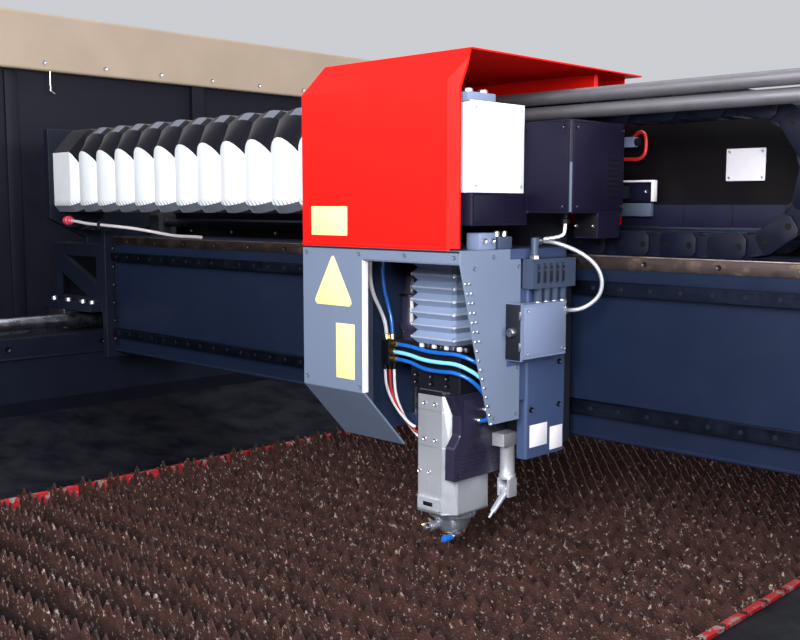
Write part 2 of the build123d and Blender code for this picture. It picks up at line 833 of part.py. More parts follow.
def x_chain():
    """Energy chain on the beam, its links marked by notches on both sides."""
    joints = chain_joints()
    half = link_height / 2
    step = link_notch * 0.6
    outer = []
    inner = []
    for index, (x, z, angle) in enumerate(joints):
        along = (math.cos(angle), math.sin(angle))
        across = (math.sin(angle), -math.cos(angle))
        depths = ((-step, half), (0.0, half - link_notch), (step, half))
        if index == 0:
            depths = ((0.0, half),)
        if index == len(joints) - 1:
            depths = ((0.0, half),)
        for shift, depth in depths:
            outer.append((x + along[0] * shift + across[0] * depth, z + along[1] * shift + across[1] * depth))
            inner.append((x + along[0] * shift - across[0] * depth, z + along[1] * shift - across[1] * depth))
    return prism_y(outer + inner[::-1], chain_front, chain_back)


def gantry_rear_cover():
    """Dark sheet behind the chain with a cable duct along its front."""
    cover = block((-beam_half, beam_half), (rear_cover_y, rear_cover_y + sheet), (beam_top, rear_cover_top))
    cover += block((-beam_half, beam_half), (rear_cover_y, rear_cover_y + 40), (beam_top, beam_top + sheet))
    cover += block((-beam_half, beam_half), (rear_cover_y, rear_cover_y + 25),
                   (rear_cover_top - sheet, rear_cover_top))
    cover += block((-beam_half, beam_half), (rear_cover_y - duct_depth, rear_cover_y), (duct_bottom, duct_top))
    return cover


def x_screw_bearings():
    """Bearing blocks of the beam's ball screw."""
    blocks = []
    half = x_bearing_width / 2
    for side in (-1, 1):
        x = (side * x_bearing_half, side * (x_bearing_half + x_bearing_length))
        body = block(x, (x_screw_y - half, x_screw_y + half), (beam_top, x_screw_z + half))
        body = chamfer(body.edges().filter_by(Axis.X).group_by(Axis.Z)[-1], 8)
        blocks.append(body - rod_x(x_journal_radius + shaft_gap, min(x) - 1, max(x) + 1, x_screw_y, x_screw_z))
    return blocks


def x_screw():
    """Ball screw along the beam with its journals."""
    thread = rod_x(x_screw_radius, -x_bearing_half + 5, x_bearing_half - 5, x_screw_y, x_screw_z)
    journal = rod_x(x_journal_radius, -x_bearing_half - x_bearing_length, bracket_inner + 30,
                    x_screw_y, x_screw_z)
    return thread + journal


def x_motor():
    """Drive motor on the outer face of the right end plate."""
    servo = Plane(origin=(bracket_inner, x_screw_y, x_screw_z), x_dir=(0, 0, 1),
                  z_dir=(1, 0, 0)) * mount_servo(x_motor_size, x_motor_length)
    return servo - rod_x(x_journal_radius + shaft_gap, bracket_inner - 1, bracket_inner + 35,
                         x_screw_y, x_screw_z)


# Carriage

def carriage_saddle():
    """Plate on the beam's front, bridge over the beam, hood rib, chain anchor and screw nut."""
    plate_right = control_left
    saddle = block((housing_left, plate_right), (saddle_front, saddle_back),
                   (saddle_bottom, bridge_bottom + bridge_plate))
    saddle += block((housing_left, hood_right), (saddle_front, saddle_back), (saddle_bottom, housing_top))
    saddle += block((housing_left, plate_right), (saddle_front, bridge_back),
                    (bridge_bottom, bridge_bottom + bridge_plate))
    bridge_top = bridge_bottom + bridge_plate
    rib_y = chain_back + 17
    rib_left = hood_left + hood_chamfer_left + 8
    saddle += block((rib_left, plate_right - 26), (rib_y, rib_y + plate), (bridge_top, hood_top - sheet))
    anchor_x = chain_end_x - running_gap
    saddle += block((anchor_x - 16, anchor_x), (chain_front, chain_back), (bridge_top, upper_link_z + 20))
    for x in (housing_left + 28, plate_right - 38):
        gusset_outline = [(saddle_back, bridge_bottom), (bridge_back - 90, bridge_bottom),
                          (saddle_back, bridge_bottom - 45)]
        saddle += prism_x(gusset_outline, x, x + plate)
    middle = hood_left + hood_width / 2
    nut_x = (middle - x_nut_length / 2, middle + x_nut_length / 2)
    half = x_nut_width / 2
    saddle += block(nut_x, (x_screw_y - half, x_screw_y + half), (x_screw_z - half + 2, bridge_bottom))
    return saddle - rod_x(x_screw_radius + shaft_gap, nut_x[0] - 1, nut_x[1] + 1, x_screw_y, x_screw_z)


def x_bearing_blocks():
    """Four guide carriages between the saddle and the beam's rails."""
    blocks = []
    half = x_block_height / 2
    channel = x_rail_width / 2 + running_gap
    back = saddle_back + x_rail_depth
    for level in x_rail_levels:
        for start in (hood_left + 41, hood_right - 41 - x_block_length):
            x = (start, start + x_block_length)
            body = block(x, (saddle_back, back), (level - half, level + half))
            body -= block((x[0] - 1, x[1] + 1), (beam_front - x_rail_depth - running_gap, back + 1),
                          (level - channel, level + channel))
            blocks.append(body)
    return blocks


def z_housing():
    """Cheeks and roof of the vertical slide, with the screw's lower lug."""
    left = (housing_left, housing_left + housing_wall)
    right = (hood_right - housing_wall, hood_right)
    body = block(left, (housing_front, saddle_front), (housing_bottom, housing_top))
    right_cheek = block(right, (housing_front, saddle_front), (housing_bottom, housing_top))
    body += chamfer(right_cheek.edges().filter_by(Axis.Z).group_by(Axis.Y)[0], 4)
    body += block((housing_left, hood_right), (housing_shelf_front, saddle_front),
                  (housing_top, housing_top + housing_roof))
    body -= block((housing_left + 12, z_bellows_left - 4), (housing_shelf_front - 1, -10),
                  (housing_top - 1, housing_top + housing_roof + 1))
    half = z_nut_size / 2
    body += block((left[1], z_screw_x + half), (z_screw_y - half, z_screw_y + half),
                  (housing_bottom + 5, housing_bottom + 30))
    tongue_right = hood_right - sheet
    body += block((tongue_right - tongue_width, tongue_right), (side_panel_back - 35, housing_front),
                  (tongue_bottom, tongue_top))
    return body - rod_z(z_screw_radius + shaft_gap, z_screw_x, z_screw_y, housing_bottom,
                        housing_top + housing_roof + 1)


def z_guide_rails():
    """Profiled rails for the vertical slide."""
    half = z_rail_width / 2
    rails = []
    for x in z_rail_xs:
        profile = [(x - half, saddle_front), (x - half, saddle_front - 5), (x - half + 3, saddle_front - 8),
                   (x - half, saddle_front - 11), (x - half, z_rail_front), (x + half, z_rail_front),
                   (x + half, saddle_front - 11), (x + half - 3, saddle_front - 8),
                   (x + half, saddle_front - 5), (x + half, saddle_front)]
        rails.append(prism_z(profile, z_rail_bottom, z_rail_top))
    return rails


def hood_block(inset):
    """Outer form of the hood, drawn in by a wall, with its chamfered edges."""
    left = hood_left + inset
    right = hood_right - inset
    front = hood_front + inset
    back = hood_back - inset
    top = hood_top - inset
    body = block((left, right), (front, back), (hood_bottom, top))
    body -= prism_x([(front, top - hood_chamfer_top), (front, top + 1), (front + hood_slope_front, top + 1),
                     (front + hood_slope_front, top)], left - 1, right + 1)
    body -= prism_y([(left - 1, top - hood_chamfer_top), (left, top - hood_chamfer_top),
                     (left + hood_chamfer_left, top), (left + hood_chamfer_left, top + 1),
                     (left - 1, top + 1)], front - 1, back + 1)
    body -= prism_z([(right - hood_chamfer_right, front), (right - hood_chamfer_right, front - 1),
                     (right + 1, front - 1), (right + 1, front + hood_chamfer_front),
                     (right, front + hood_chamfer_front)], hood_bottom - 1, top + 1)
    return body


def hood():
    """Red sheet hood: front, top, left side and rear, open below and to the right."""
    cover = hood_block(0.0)
    cavity = hood_block(sheet)
    cavity += block((hood_left + sheet, hood_right - sheet), (hood_front + sheet, hood_back - sheet),
                    (hood_bottom - 1, hood_bottom + sheet))
    cover -= cavity
    cover -= block((hood_right - sheet - 1, hood_right + 1), (hood_front + hood_chamfer_front + sheet,
                                                              hood_back + 1),
                   (hood_bottom - 1, hood_top - sheet))
    trim_x = hood_right - hood_trim_right
    cover -= prism_y([(trim_x, hood_bottom - 1), (hood_right + 1, hood_bottom - 1),
                      (hood_right + 1, hood_top - hood_trim_high), (trim_x, hood_top - hood_trim_low)],
                     hood_front - 1, hood_front + hood_slope_front)
    cover -= block((hood_right - hood_back_gap, hood_right + 1), (hood_back - sheet - 1, hood_back + 1),
                   (hood_bottom - 1, hood_top - sheet))
    cover -= block((hood_left - 1, hood_left + sheet + 1), (hood_side_cut_front, hood_back - sheet),
                   (hood_bottom - 1, hood_side_cut_top))
    slot_top = upper_rod_z + rod_radius + rod_slot_gap
    cover -= block((hood_left - 1, hood_left + 18), (rod_y - rod_slot_side, rod_y + rod_slot_side),
                   (hood_side_cut_top - 10, slot_top))
    return cover


def front_shell():
    """Grey lower cover: front with its window, chin, left side and right side panel."""
    top = hood_bottom
    left = (hood_left, hood_left + sheet)
    right = (hood_right - sheet, hood_right)
    front = (hood_front, hood_front + sheet)
    shell = block((hood_left, shell_window_left), front, (shell_front_bottom, top))
    shell += block((hood_left, hood_right), front, (shell_window_top, top))
    chin = [(hood_front, shell_front_bottom), (chin_back, chin_bottom), (chin_back + sheet, chin_bottom + sheet),
            (hood_front + sheet, shell_front_bottom + sheet)]
    shell += prism_x(chin, hood_left, shell_window_left)
    shell += prism_x([(hood_front, top), (hood_front, shell_front_bottom), (chin_back, chin_bottom),
                      (saddle_front, chin_bottom), (saddle_front, top)], *left)
    knee = [(hood_front, shell_window_top), (side_panel_knee_y, side_panel_knee_z),
            (side_panel_toe, side_panel_bottom), (side_panel_back, side_panel_bottom),
            (side_panel_back, housing_top), (housing_shelf_front, housing_top),
            (housing_shelf_front, top), (hood_front, top)]
    shell += prism_x(knee, *right)
    shell += block((hood_left, hood_right), (hood_front, housing_shelf_front), (top - sheet, top)) \
        - block((housing_left + 12, hood_right - 40), (hood_front + 40, housing_shelf_front),
                (top - sheet - 1, top + 1))
    return shell


def white_side_panel():
    """Plain moulded box in the hood's open right side."""
    panel = block((white_panel_left, hood_right - 1), (white_panel_front, control_front),
                  (white_panel_bottom, white_panel_top))
    return fillet(panel.edges().filter_by(Axis.Z), 5)


def control_box():
    """Black drive box beside the hood, its lower block and the gland box below."""
    box = block((control_left, control_right), (control_front, control_back), (control_bottom, control_top))
    box = chamfer(box.edges().filter_by(Axis.Z).group_by(Axis.X)[-1], 4)
    box += block((white_panel_left, hood_right + 5), (white_panel_front - 4, control_front),
                 (white_panel_bottom - lower_block_height, white_panel_bottom))
    box += block((control_right - gland_width, control_right), (gland_front, gland_back),
                 (gland_bottom, control_bottom))
    return box


def junction_box():
    """Light box on the slide housing's side, with a flanged end and a knob."""
    right = hood_right + junction_depth
    box = block((hood_right, right), (junction_front + 6, junction_back), (junction_bottom, junction_top))
    box = chamfer(box.edges().filter_by(Axis.Z).group_by(Axis.X)[-1], 3)
    box += block((hood_right, right + 2), (junction_front, junction_front + 6),
                 (junction_bottom - 2, junction_top + 2))
    middle = (junction_bottom + junction_top) / 2
    knob = rod_y_axis(7, hood_right + junction_depth / 2, junction_front - 10, junction_front, middle)
    return box + knob


def valve_block():
    """Ribbed manifold on the housing's side with its row of fittings."""
    x = (hood_right, hood_right + valve_depth)
    body = block(x, (valve_front, valve_back), (valve_bottom, housing_top))
    for index in range(5):
        start = valve_front + 12 + index * 18
        body -= block((x[1] - 8, x[1] + 1), (start, start + 8), (valve_bottom + 8, housing_top - 8))
    for index in range(4):
        y = valve_front + 30 + index * 24
        body += rod_z(8, hood_right + 11, y, valve_bottom - 24, valve_bottom)
    elbow_x, elbow_y, elbow_z = loop_cable_route[0]
    body += rod_z(7, elbow_x, elbow_y - 16, housing_top - 2, elbow_z + 6)
    return body + rod_y_axis(6, elbow_x, elbow_y - 20, elbow_y, elbow_z)


def z_motor():
    """Motor of the vertical slide, standing on the housing's roof."""
    base = housing_top + housing_roof
    servo = Pos(z_screw_x, z_screw_y, base) * mount_servo(z_motor_size, z_motor_length)
    return servo - rod_z(z_screw_radius + shaft_gap, z_screw_x, z_screw_y, base - 1, base + 35)


def z_bellows():
    """Ribbed grey bellows over the vertical slide, from the roof to the head mount."""
    height = housing_top - mount_top
    half_pitch = height / (2 * z_bellows_pleats)
    wires = []
    for index in range(2 * z_bellows_pleats + 1):
        inset = 0.0 if index % 2 else z_bellows_depth
        x = (z_bellows_left + inset, z_bellows_left + z_bellows_width - inset)
        y = (z_bellows_front + inset, z_bellows_back - inset)
        corners = [(x[0], y[0]), (x[1], y[0]), (x[1], y[1]), (x[0], y[1])]
        plane = Plane(origin=(0, 0, mount_top + index * half_pitch))
        wires.append(plane * make_face(Polyline(*corners, close=True)))
    return loft(wires, ruled=True)


# Vertical slide

def z_screw():
    """Ball screw of the vertical slide."""
    return rod_z(z_screw_radius, z_screw_x, z_screw_y, housing_bottom + 2, housing_top + housing_roof + 30)


def z_plate():
    """Slide plate with the head mount on its front and the screw nut at its left edge."""
    body = block((z_plate_left, z_plate_right), (z_plate_front, z_block_front), (z_plate_bottom, z_plate_top))
    body += block((head_x - head_half_width - 4, head_x + head_half_width + 18),
                  (mount_front, z_plate_front), (head_top, mount_top))
    body += block((z_plate_left, head_x), (mount_front, z_plate_front), (mount_top - 24, mount_top))
    body += block((z_plate_left + 3, z_plate_left + 3 + manifold_size),
                  (mount_front - manifold_size - 2, mount_front), (mount_top - manifold_length, mount_top))
    half = z_nut_size / 2
    z = (z_plate_bottom + 20, z_plate_bottom + 20 + z_nut_length)
    body += block((z_screw_x - half, z_screw_x + half), (z_screw_y - half, z_screw_y + half), z)
    return body - rod_z(z_screw_radius + shaft_gap, z_screw_x, z_screw_y, z[0] - 1, z[1] + 1)


def z_bearing_blocks():
    """Four guide carriages of the vertical slide."""
    blocks = []
    channel = z_rail_width / 2 + running_gap
    for x in z_rail_xs:
        for level in z_block_levels:
            z = (level, level + z_block_length)
            body = block((x - z_block_width / 2, x + z_block_width / 2), (z_block_front, saddle_front - 8), z)
            body -= block((x - channel, x + channel), (z_rail_front - running_gap, saddle_front),
                          (z[0] - 1, z[1] + 1))
            blocks.append(body)
    return blocks


def head_outline(inset):
    """Eight-sided section of the cutting head, drawn in by the given amount."""
    a = head_half_width - inset
    b = head_half_depth - inset
    c = head_chamfer
    corners = [(-a + c, -b), (a - c, -b), (a, -b + c), (a, b - c), (a - c, b), (-a + c, b),
               (-a, b - c), (-a, -b + c)]
    return [(head_x + x, y) for x, y in corners]


def head_body():
    """Silver body of the cutting head with the slot for its window cartridge."""
    body = prism_z(head_outline(0.0), head_bottom, head_top)
    half = cartridge_width / 2 + running_gap
    z = (cartridge_bottom - running_gap, cartridge_bottom + cartridge_height + running_gap)
    return body - block((head_x - half, head_x + half), (-head_half_depth - 1,
                                                         -head_half_depth + cartridge_depth + 1), z)


def window_cartridge():
    """Drawer with the round protective window that slides out of the head's front."""
    half = cartridge_width / 2
    z = (cartridge_bottom, cartridge_bottom + cartridge_height)
    front = -head_half_depth
    body = block((head_x - half, head_x + half), (front, front + cartridge_depth), z)
    body += block((head_x - half - 4, head_x + half + 4), (front - 5.3, front - 0.3), (z[0] - 3, z[1] + 3))
    body += block((head_x - half, head_x + half), (front - 1, front), z)
    return body - rod_z(15, head_x, front + cartridge_depth - 22, z[0] - 1, z[1] + 1)


def drive_housing():
    """Black focus drive on the head's right side."""
    x0 = head_x + head_half_width
    outline = [(-81, drive_bottom), (70, drive_bottom), (70, head_top), (-85, head_top), (-63, head_top - 40),
               (-63, head_top - 78), (-81, head_top - 100)]
    return prism_x(outline, x0, x0 + drive_depth)


def sensor_body():
    """Stepped sensor insert below the head with its connector boss."""
    base = nozzle_base
    body = Pos(head_x, 0, base) * Cone(28, sensor_radius, head_bottom - base - 14,
                                       align=(Align.CENTER, Align.CENTER, Align.MIN))
    body += rod_z(sensor_radius + 6, head_x, 0, head_bottom - 14, head_bottom)
    boss = Plane(origin=(head_x - 10, -30, base + 12), z_dir=(0, -1, 0)) * extrude(Circle(9), amount=26)
    return body + boss


def ceramic_ring():
    """White insulator between the sensor insert and the nozzle."""
    return rod_z(ceramic_radius, head_x, 0, tip_z + tip_length, nozzle_base)


def nozzle_tip():
    """Copper nozzle with its bore."""
    cone = Pos(head_x, 0, tip_z) * Cone(3.5, tip_radius, tip_length,
                                        align=(Align.CENTER, Align.CENTER, Align.MIN))
    return cone - rod_z(1.2, head_x, 0, tip_z - 1, tip_z + tip_length + 1)


def collimator():
    """Fibre collimator that stands on the left wing of the head mount."""
    tube = rod_z(collimator_radius, collimator_x, collimator_y, mount_top, collimator_top)
    tube += rod_z(collimator_radius + 3, collimator_x, collimator_y, mount_top + 20, mount_top + 34)
    taper = Cone(collimator_radius - 3, fibre_radius + 4, 34, align=(Align.CENTER, Align.CENTER, Align.MIN))
    return tube + Pos(collimator_x, collimator_y, collimator_top) * taper


def spray_unit():
    """Lubricant cylinder on its bracket beside the focus drive, with a fork below."""
    side = head_x + head_half_width + drive_depth
    body = block((side, spray_x + spray_radius), (spray_y - 28, spray_y + spray_radius),
                 (spray_top, spray_bracket_top))
    body += rod_z(spray_radius, spray_x, spray_y, spray_bottom, spray_top)
    body += rod_z(spray_radius + 2, spray_x, spray_y, spray_bottom, spray_bottom + 8)
    for way in (-1, 1):
        body += block((spray_x + way * 9, spray_x + way * spray_radius), (spray_y - 12, spray_y + 12),
                      (spray_pivot_z - 12, spray_bottom))
    return body + rod_x(spray_pin_radius, spray_x - spray_radius, spray_x + spray_radius, spray_y,
                        spray_pivot_z)


def spray_nozzle():
    """Spray nozzle that tilts on the fork's pin and points below the cutting head."""
    half = 9 - running_gap
    body = rod_x(spray_eye_radius, spray_x - half, spray_x + half, spray_y, spray_pivot_z)
    slope = math.radians(spray_slope)
    way = (0, -math.cos(slope), -math.sin(slope))
    barrel = Plane(origin=(spray_x, spray_y, spray_pivot_z), z_dir=way)
    low = (Align.CENTER, Align.CENTER, Align.MIN)
    body += barrel * Cone(7, 5.5, spray_reach - 14, align=low)
    body += barrel * Pos(0, 0, spray_reach - 14) * Cone(3.5, 2, 14, align=low)
    return body - rod_x(spray_pin_radius + shaft_gap, spray_x - 20, spray_x + 20, spray_y, spray_pivot_z)


def cord_tube(name, points, radius):
    """Tube along straight runs joined by arcs as large as the runs allow."""
    corners = [Vector(*point) for point in points]
    radii = []
    for before, here, after in zip(corners, corners[1:], corners[2:]):
        shorter = min((here - before).length, (after - here).length)
        turn = math.radians((here - before).get_angle(after - here))
        radii.append(0.45 * shorter / math.tan(turn / 2))
    print(name, "arc radii", [round(value) for value in radii])
    path = FilletPolyline(*points, radius=radii)
    section = Plane(origin=corners[0], z_dir=corners[1] - corners[0]) * Circle(radius)
    return sweep(section, path=path)


def supply_cables():
    """Sheathed fibre and two air tubes from the head mount up through the hood to its rib."""
    cables = [cord_tube("fibre", fibre_route, fibre_radius)]
    return cables + [cord_tube("supply_tube", route, air_tube_radius) for route in supply_tube_routes]


def loop_cable():
    """Armoured cable that loops from the valve block to the junction box."""
    return cord_tube("loop_cable", loop_cable_route, loop_cable_radius)


def head_cables():
    """Air tubes across the head mount and signal cables that hang behind the window."""
    tubes = [cord_tube("air_tube", route, air_tube_radius) for route in air_tube_routes]
    return tubes + [cord_tube("signal_cable", route, signal_cable_radius) for route in signal_cable_routes]


def export(node, shape):
    """Write one node's solids to its own file."""
    solids = shape if isinstance(shape, list) else [shape]
    solids = [piece for item in solids for piece in item.solids()]
    whole = solids[0] if len(solids) == 1 else Compound(children=solids)
    export_step(whole, f"parts/{node}.step")


nodes = {
    "left_side_frame": lambda: side_frame(-1),
    "right_side_frame": lambda: side_frame(1),
    "end_cross_beams": end_cross_beams,
    "table_frame": table_frame,
    "comb_rails": comb_rails,
    "slats": slats,
    "side_aprons": side_aprons,
    "end_aprons": end_aprons,
    "drawer_runners": drawer_runners,
    "front_slag_drawer": lambda: slag_drawer(-1),
    "rear_slag_drawer": lambda: slag_drawer(1),
    "levelling_feet": levelling_feet,
    "y_guide_rails": y_guide_rails,
    "guide_rail_buffers": guide_rail_buffers,
    "y_screw_bearings": y_screw_bearings,
    "y_motors": y_motors,
    "left_y_screw": lambda: y_screw(-1),
    "right_y_screw": lambda: y_screw(1),
    "guard_panel": guard_panel,
    "guard_top_rail": guard_top_rail,
    "gantry_beam": gantry_beam,
    "left_end_bracket": lambda: end_bracket(-1),
    "right_end_bracket": lambda: end_bracket(1),
    "y_bearing_blocks": y_bearing_blocks,
    "y_screw_nuts": y_screw_nuts,
    "x_guide_rails": x_guide_rails,
    "guide_rods": guide_rods,
    "left_bellows": left_bellows,
    "x_chain": x_chain,
    "gantry_rear_cover": gantry_rear_cover,
    "x_screw_bearings": x_screw_bearings,
    "x_motor": x_motor,
    "x_screw": x_screw,
    "carriage_saddle": carriage_saddle,
    "x_bearing_blocks": x_bearing_blocks,
    "z_housing": z_housing,
    "z_guide_rails": z_guide_rails,
    "hood": hood,
    "front_shell": front_shell,
    "white_side_panel": white_side_panel,
    "control_box": control_box,
    "junction_box": junction_box,
    "valve_block": valve_block,
    "z_motor": z_motor,
    "z_bellows": z_bellows,
    "z_screw": z_screw,
    "z_plate": z_plate,
    "z_bearing_blocks": z_bearing_blocks,
    "head_body": head_body,
    "window_cartridge": window_cartridge,
    "drive_housing": drive_housing,
    "sensor_body": sensor_body,
    "ceramic_ring": ceramic_ring,
    "nozzle_tip": nozzle_tip,
    "collimator": collimator,
    "spray_unit": spray_unit,
    "spray_nozzle": spray_nozzle,
    "supply_cables": supply_cables,
    "loop_cable": loop_cable,
    "head_cables": head_cables,
}

os.makedirs("parts", exist_ok=True)
for node, build in nodes.items():
    export(node, build())
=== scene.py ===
import logging
import math
import random
from collections.abc import Callable, Iterable, Sequence
from dataclasses import dataclass
from enum import Enum
from functools import cache

import bmesh
import bpy
from mathutils import Matrix, Vector


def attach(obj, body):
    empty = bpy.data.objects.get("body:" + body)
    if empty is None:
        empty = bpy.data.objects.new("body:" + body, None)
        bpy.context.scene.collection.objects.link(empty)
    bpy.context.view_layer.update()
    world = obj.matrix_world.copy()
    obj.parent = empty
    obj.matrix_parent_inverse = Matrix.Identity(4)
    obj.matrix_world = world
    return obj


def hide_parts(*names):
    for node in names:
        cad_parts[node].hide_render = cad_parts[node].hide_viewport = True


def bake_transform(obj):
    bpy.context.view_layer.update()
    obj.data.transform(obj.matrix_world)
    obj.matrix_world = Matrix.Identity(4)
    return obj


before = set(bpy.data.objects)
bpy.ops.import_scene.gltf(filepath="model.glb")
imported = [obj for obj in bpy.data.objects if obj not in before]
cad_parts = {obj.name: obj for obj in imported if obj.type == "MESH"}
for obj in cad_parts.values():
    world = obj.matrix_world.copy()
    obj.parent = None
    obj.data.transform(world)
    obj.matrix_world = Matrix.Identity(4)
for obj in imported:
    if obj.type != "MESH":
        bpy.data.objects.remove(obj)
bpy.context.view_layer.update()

# Looks of the fiber laser cutting machine. Every size below is in millimetres,
# in the frame's own axes: X along the gantry beam, Y along the bed, Z up.
# A finished piece is scaled to metres once, in Piece.finish.

log = logging.getLogger("cutting_machine")
MM = 0.001
SMOOTH_ANGLE = math.radians(32)
ROUND_ANGLE = 0.9
BEVEL_SEGMENTS = 2

Colour = tuple[float, float, float]
Point = tuple[float, float, float]
Span = tuple[float, float]
Outline = Sequence[tuple[float, float]]
Block = tuple[Span, Span, Span]
Socket = bpy.types.NodeSocket

# Cloudy noise keeps within this range nearly everywhere.
MOST_NOISE: Span = (0.3, 0.7)

FRONT = Vector((0, -1, 0))
LEFT = Vector((-1, 0, 0))
RIGHT = Vector((1, 0, 0))
UP = Vector((0, 0, 1))


class Axis(Enum):
    """The three directions of the frame."""

    X = 0
    Y = 1
    Z = 2


def rgba(colour: Colour, gain: float = 1.0) -> tuple[float, float, float, float]:
    """Give a colour its fourth value, made lighter or darker by a gain.

    Args:
        colour: Linear red, green and blue.
        gain: What each part is multiplied by.

    Returns:
        The colour for a shader socket.
    """
    red, green, blue = (min(1.0, part * gain) for part in colour)
    return (red, green, blue, 1.0)


# Finishes

class ShaderBench:
    """Lays out the nodes of one material on object coordinates."""

    def __init__(self, name: str) -> None:
        """Start the material with its shader.

        Args:
            name: The material's name.
        """
        self.material = bpy.data.materials.new(name)
        self.material.use_nodes = True
        self.tree = self.material.node_tree
        self.shader = self.tree.nodes["Principled BSDF"]
        self.place = self.add("ShaderNodeTexCoord").outputs["Object"]

    def add(self, kind: str, **settings: object) -> bpy.types.Node:
        """Add a node and give it its settings.

        Args:
            kind: Blender's name for the node.
            settings: Properties of the node by name.

        Returns:
            The node.
        """
        node = self.tree.nodes.new(kind)
        for name, value in settings.items():
            setattr(node, name, value)
        return node

    def wire(self, source: Socket, target: Socket) -> None:
        """Join an output to an input."""
        self.tree.links.new(source, target)

    def put(self, **values: object) -> None:
        """Set plain values on the shader, an underscore standing for a space."""
        for name, value in values.items():
            self.shader.inputs[name.replace("_", " ")].default_value = value

    def stretched(self, stretch: Point) -> Socket:
        """Object coordinates stretched along each axis."""
        mapping = self.add("ShaderNodeMapping")
        mapping.inputs["Scale"].default_value = stretch
        self.wire(self.place, mapping.inputs["Vector"])
        return mapping.outputs["Vector"]

    def noise(self, scale: float, detail: float = 3.0, rough: float = 0.5,
              stretch: Point = (1.0, 1.0, 1.0)) -> Socket:
        """Cloudy noise.

        Args:
            scale: Blotches per metre.
            detail: Number of finer layers.
            rough: How strong the finer layers are.
            stretch: Scale of each axis, small along a streak.

        Returns:
            The noise, about 0.3 to 0.7.
        """
        node = self.add("ShaderNodeTexNoise")
        node.inputs["Scale"].default_value = scale
        node.inputs["Detail"].default_value = detail
        node.inputs["Roughness"].default_value = rough
        self.wire(self.stretched(stretch), node.inputs["Vector"])
        return node.outputs["Fac"]

    def cells(self, scale: float) -> Socket:
        """Distance to the middle of scattered cells, for grain and pits."""
        node = self.add("ShaderNodeTexVoronoi")
        node.inputs["Scale"].default_value = scale
        self.wire(self.place, node.inputs["Vector"])
        return node.outputs["Distance"]

    def ribs(self, scale: float, axis: Axis) -> Socket:
        """Waves across one axis.

        Args:
            scale: About a third of the number of ribs per metre.
            axis: The axis they follow each other along.

        Returns:
            A wave from 0 to 1.
        """
        node = self.add("ShaderNodeTexWave", wave_type="BANDS", bands_direction=axis.name)
        node.inputs["Scale"].default_value = scale
        self.wire(self.place, node.inputs["Vector"])
        return node.outputs["Fac"]

    def height(self) -> Socket:
        """How far up a point lies, in metres."""
        parts = self.add("ShaderNodeSeparateXYZ")
        self.wire(self.place, parts.inputs["Vector"])
        return parts.outputs["Z"]

    def upward(self) -> Socket:
        """How far a face looks up, -1 to 1."""
        parts = self.add("ShaderNodeSeparateXYZ")
        self.wire(self.add("ShaderNodeNewGeometry").outputs["Normal"], parts.inputs["Vector"])
        return parts.outputs["Z"]

    def span(self, source: Socket, reach: Span, result: Span = (0.0, 1.0)) -> Socket:
        """Map a range of values onto another.

        Args:
            source: The values.
            reach: Their lowest and highest value that count.
            result: What these two become.

        Returns:
            The mapped values.
        """
        node = self.add("ShaderNodeMapRange", clamp=True)
        self.wire(source, node.inputs["Value"])
        node.inputs["From Min"].default_value, node.inputs["From Max"].default_value = reach
        node.inputs["To Min"].default_value, node.inputs["To Max"].default_value = result
        return node.outputs["Result"]

    def times(self, first: Socket, second: Socket) -> Socket:
        """The product of two values."""
        node = self.add("ShaderNodeMath", operation="MULTIPLY")
        self.wire(first, node.inputs[0])
        self.wire(second, node.inputs[1])
        return node.outputs[0]

    def mix(self, share: Socket, first: object, second: object) -> Socket:
        """Blend two colours.

        Args:
            share: How much of the second shows.
            first: A colour, or a socket that gives one.
            second: The same.

        Returns:
            The blended colour.
        """
        node = self.add("ShaderNodeMix", data_type="RGBA")
        self.wire(share, node.inputs[0])
        for value, slot in ((first, node.inputs[6]), (second, node.inputs[7])):
            if isinstance(value, tuple):
                slot.default_value = value
            else:
                self.wire(value, slot)
        return node.outputs[2]

    def relief(self, height: Socket, depth: float, under: Socket | None = None) -> Socket:
        """Bump from a height.

        Args:
            height: The height, 0 to 1.
            depth: What 1 stands for, in metres.
            under: A coarser bump below it.

        Returns:
            The bumped normal.
        """
        node = self.add("ShaderNodeBump")
        node.inputs["Distance"].default_value = depth
        self.wire(height, node.inputs["Height"])
        if under is not None:
            self.wire(under, node.inputs["Normal"])
        return node.outputs["Normal"]

    def done(self, colour: Socket, roughness: Socket, normal: Socket) -> bpy.types.Material:
        """Join colour, roughness and normal to the shader.

        Returns:
            The material.
        """
        self.wire(colour, self.shader.inputs["Base Color"])
        self.wire(roughness, self.shader.inputs["Roughness"])
        self.wire(normal, self.shader.inputs["Normal"])
        return self.material


@dataclass(frozen=True)
class Finish:
    """What every finish has."""

    name: str
    colour: Colour

    def mixed(self) -> bpy.types.Material:
        """Make the finish's material."""
        raise NotImplementedError


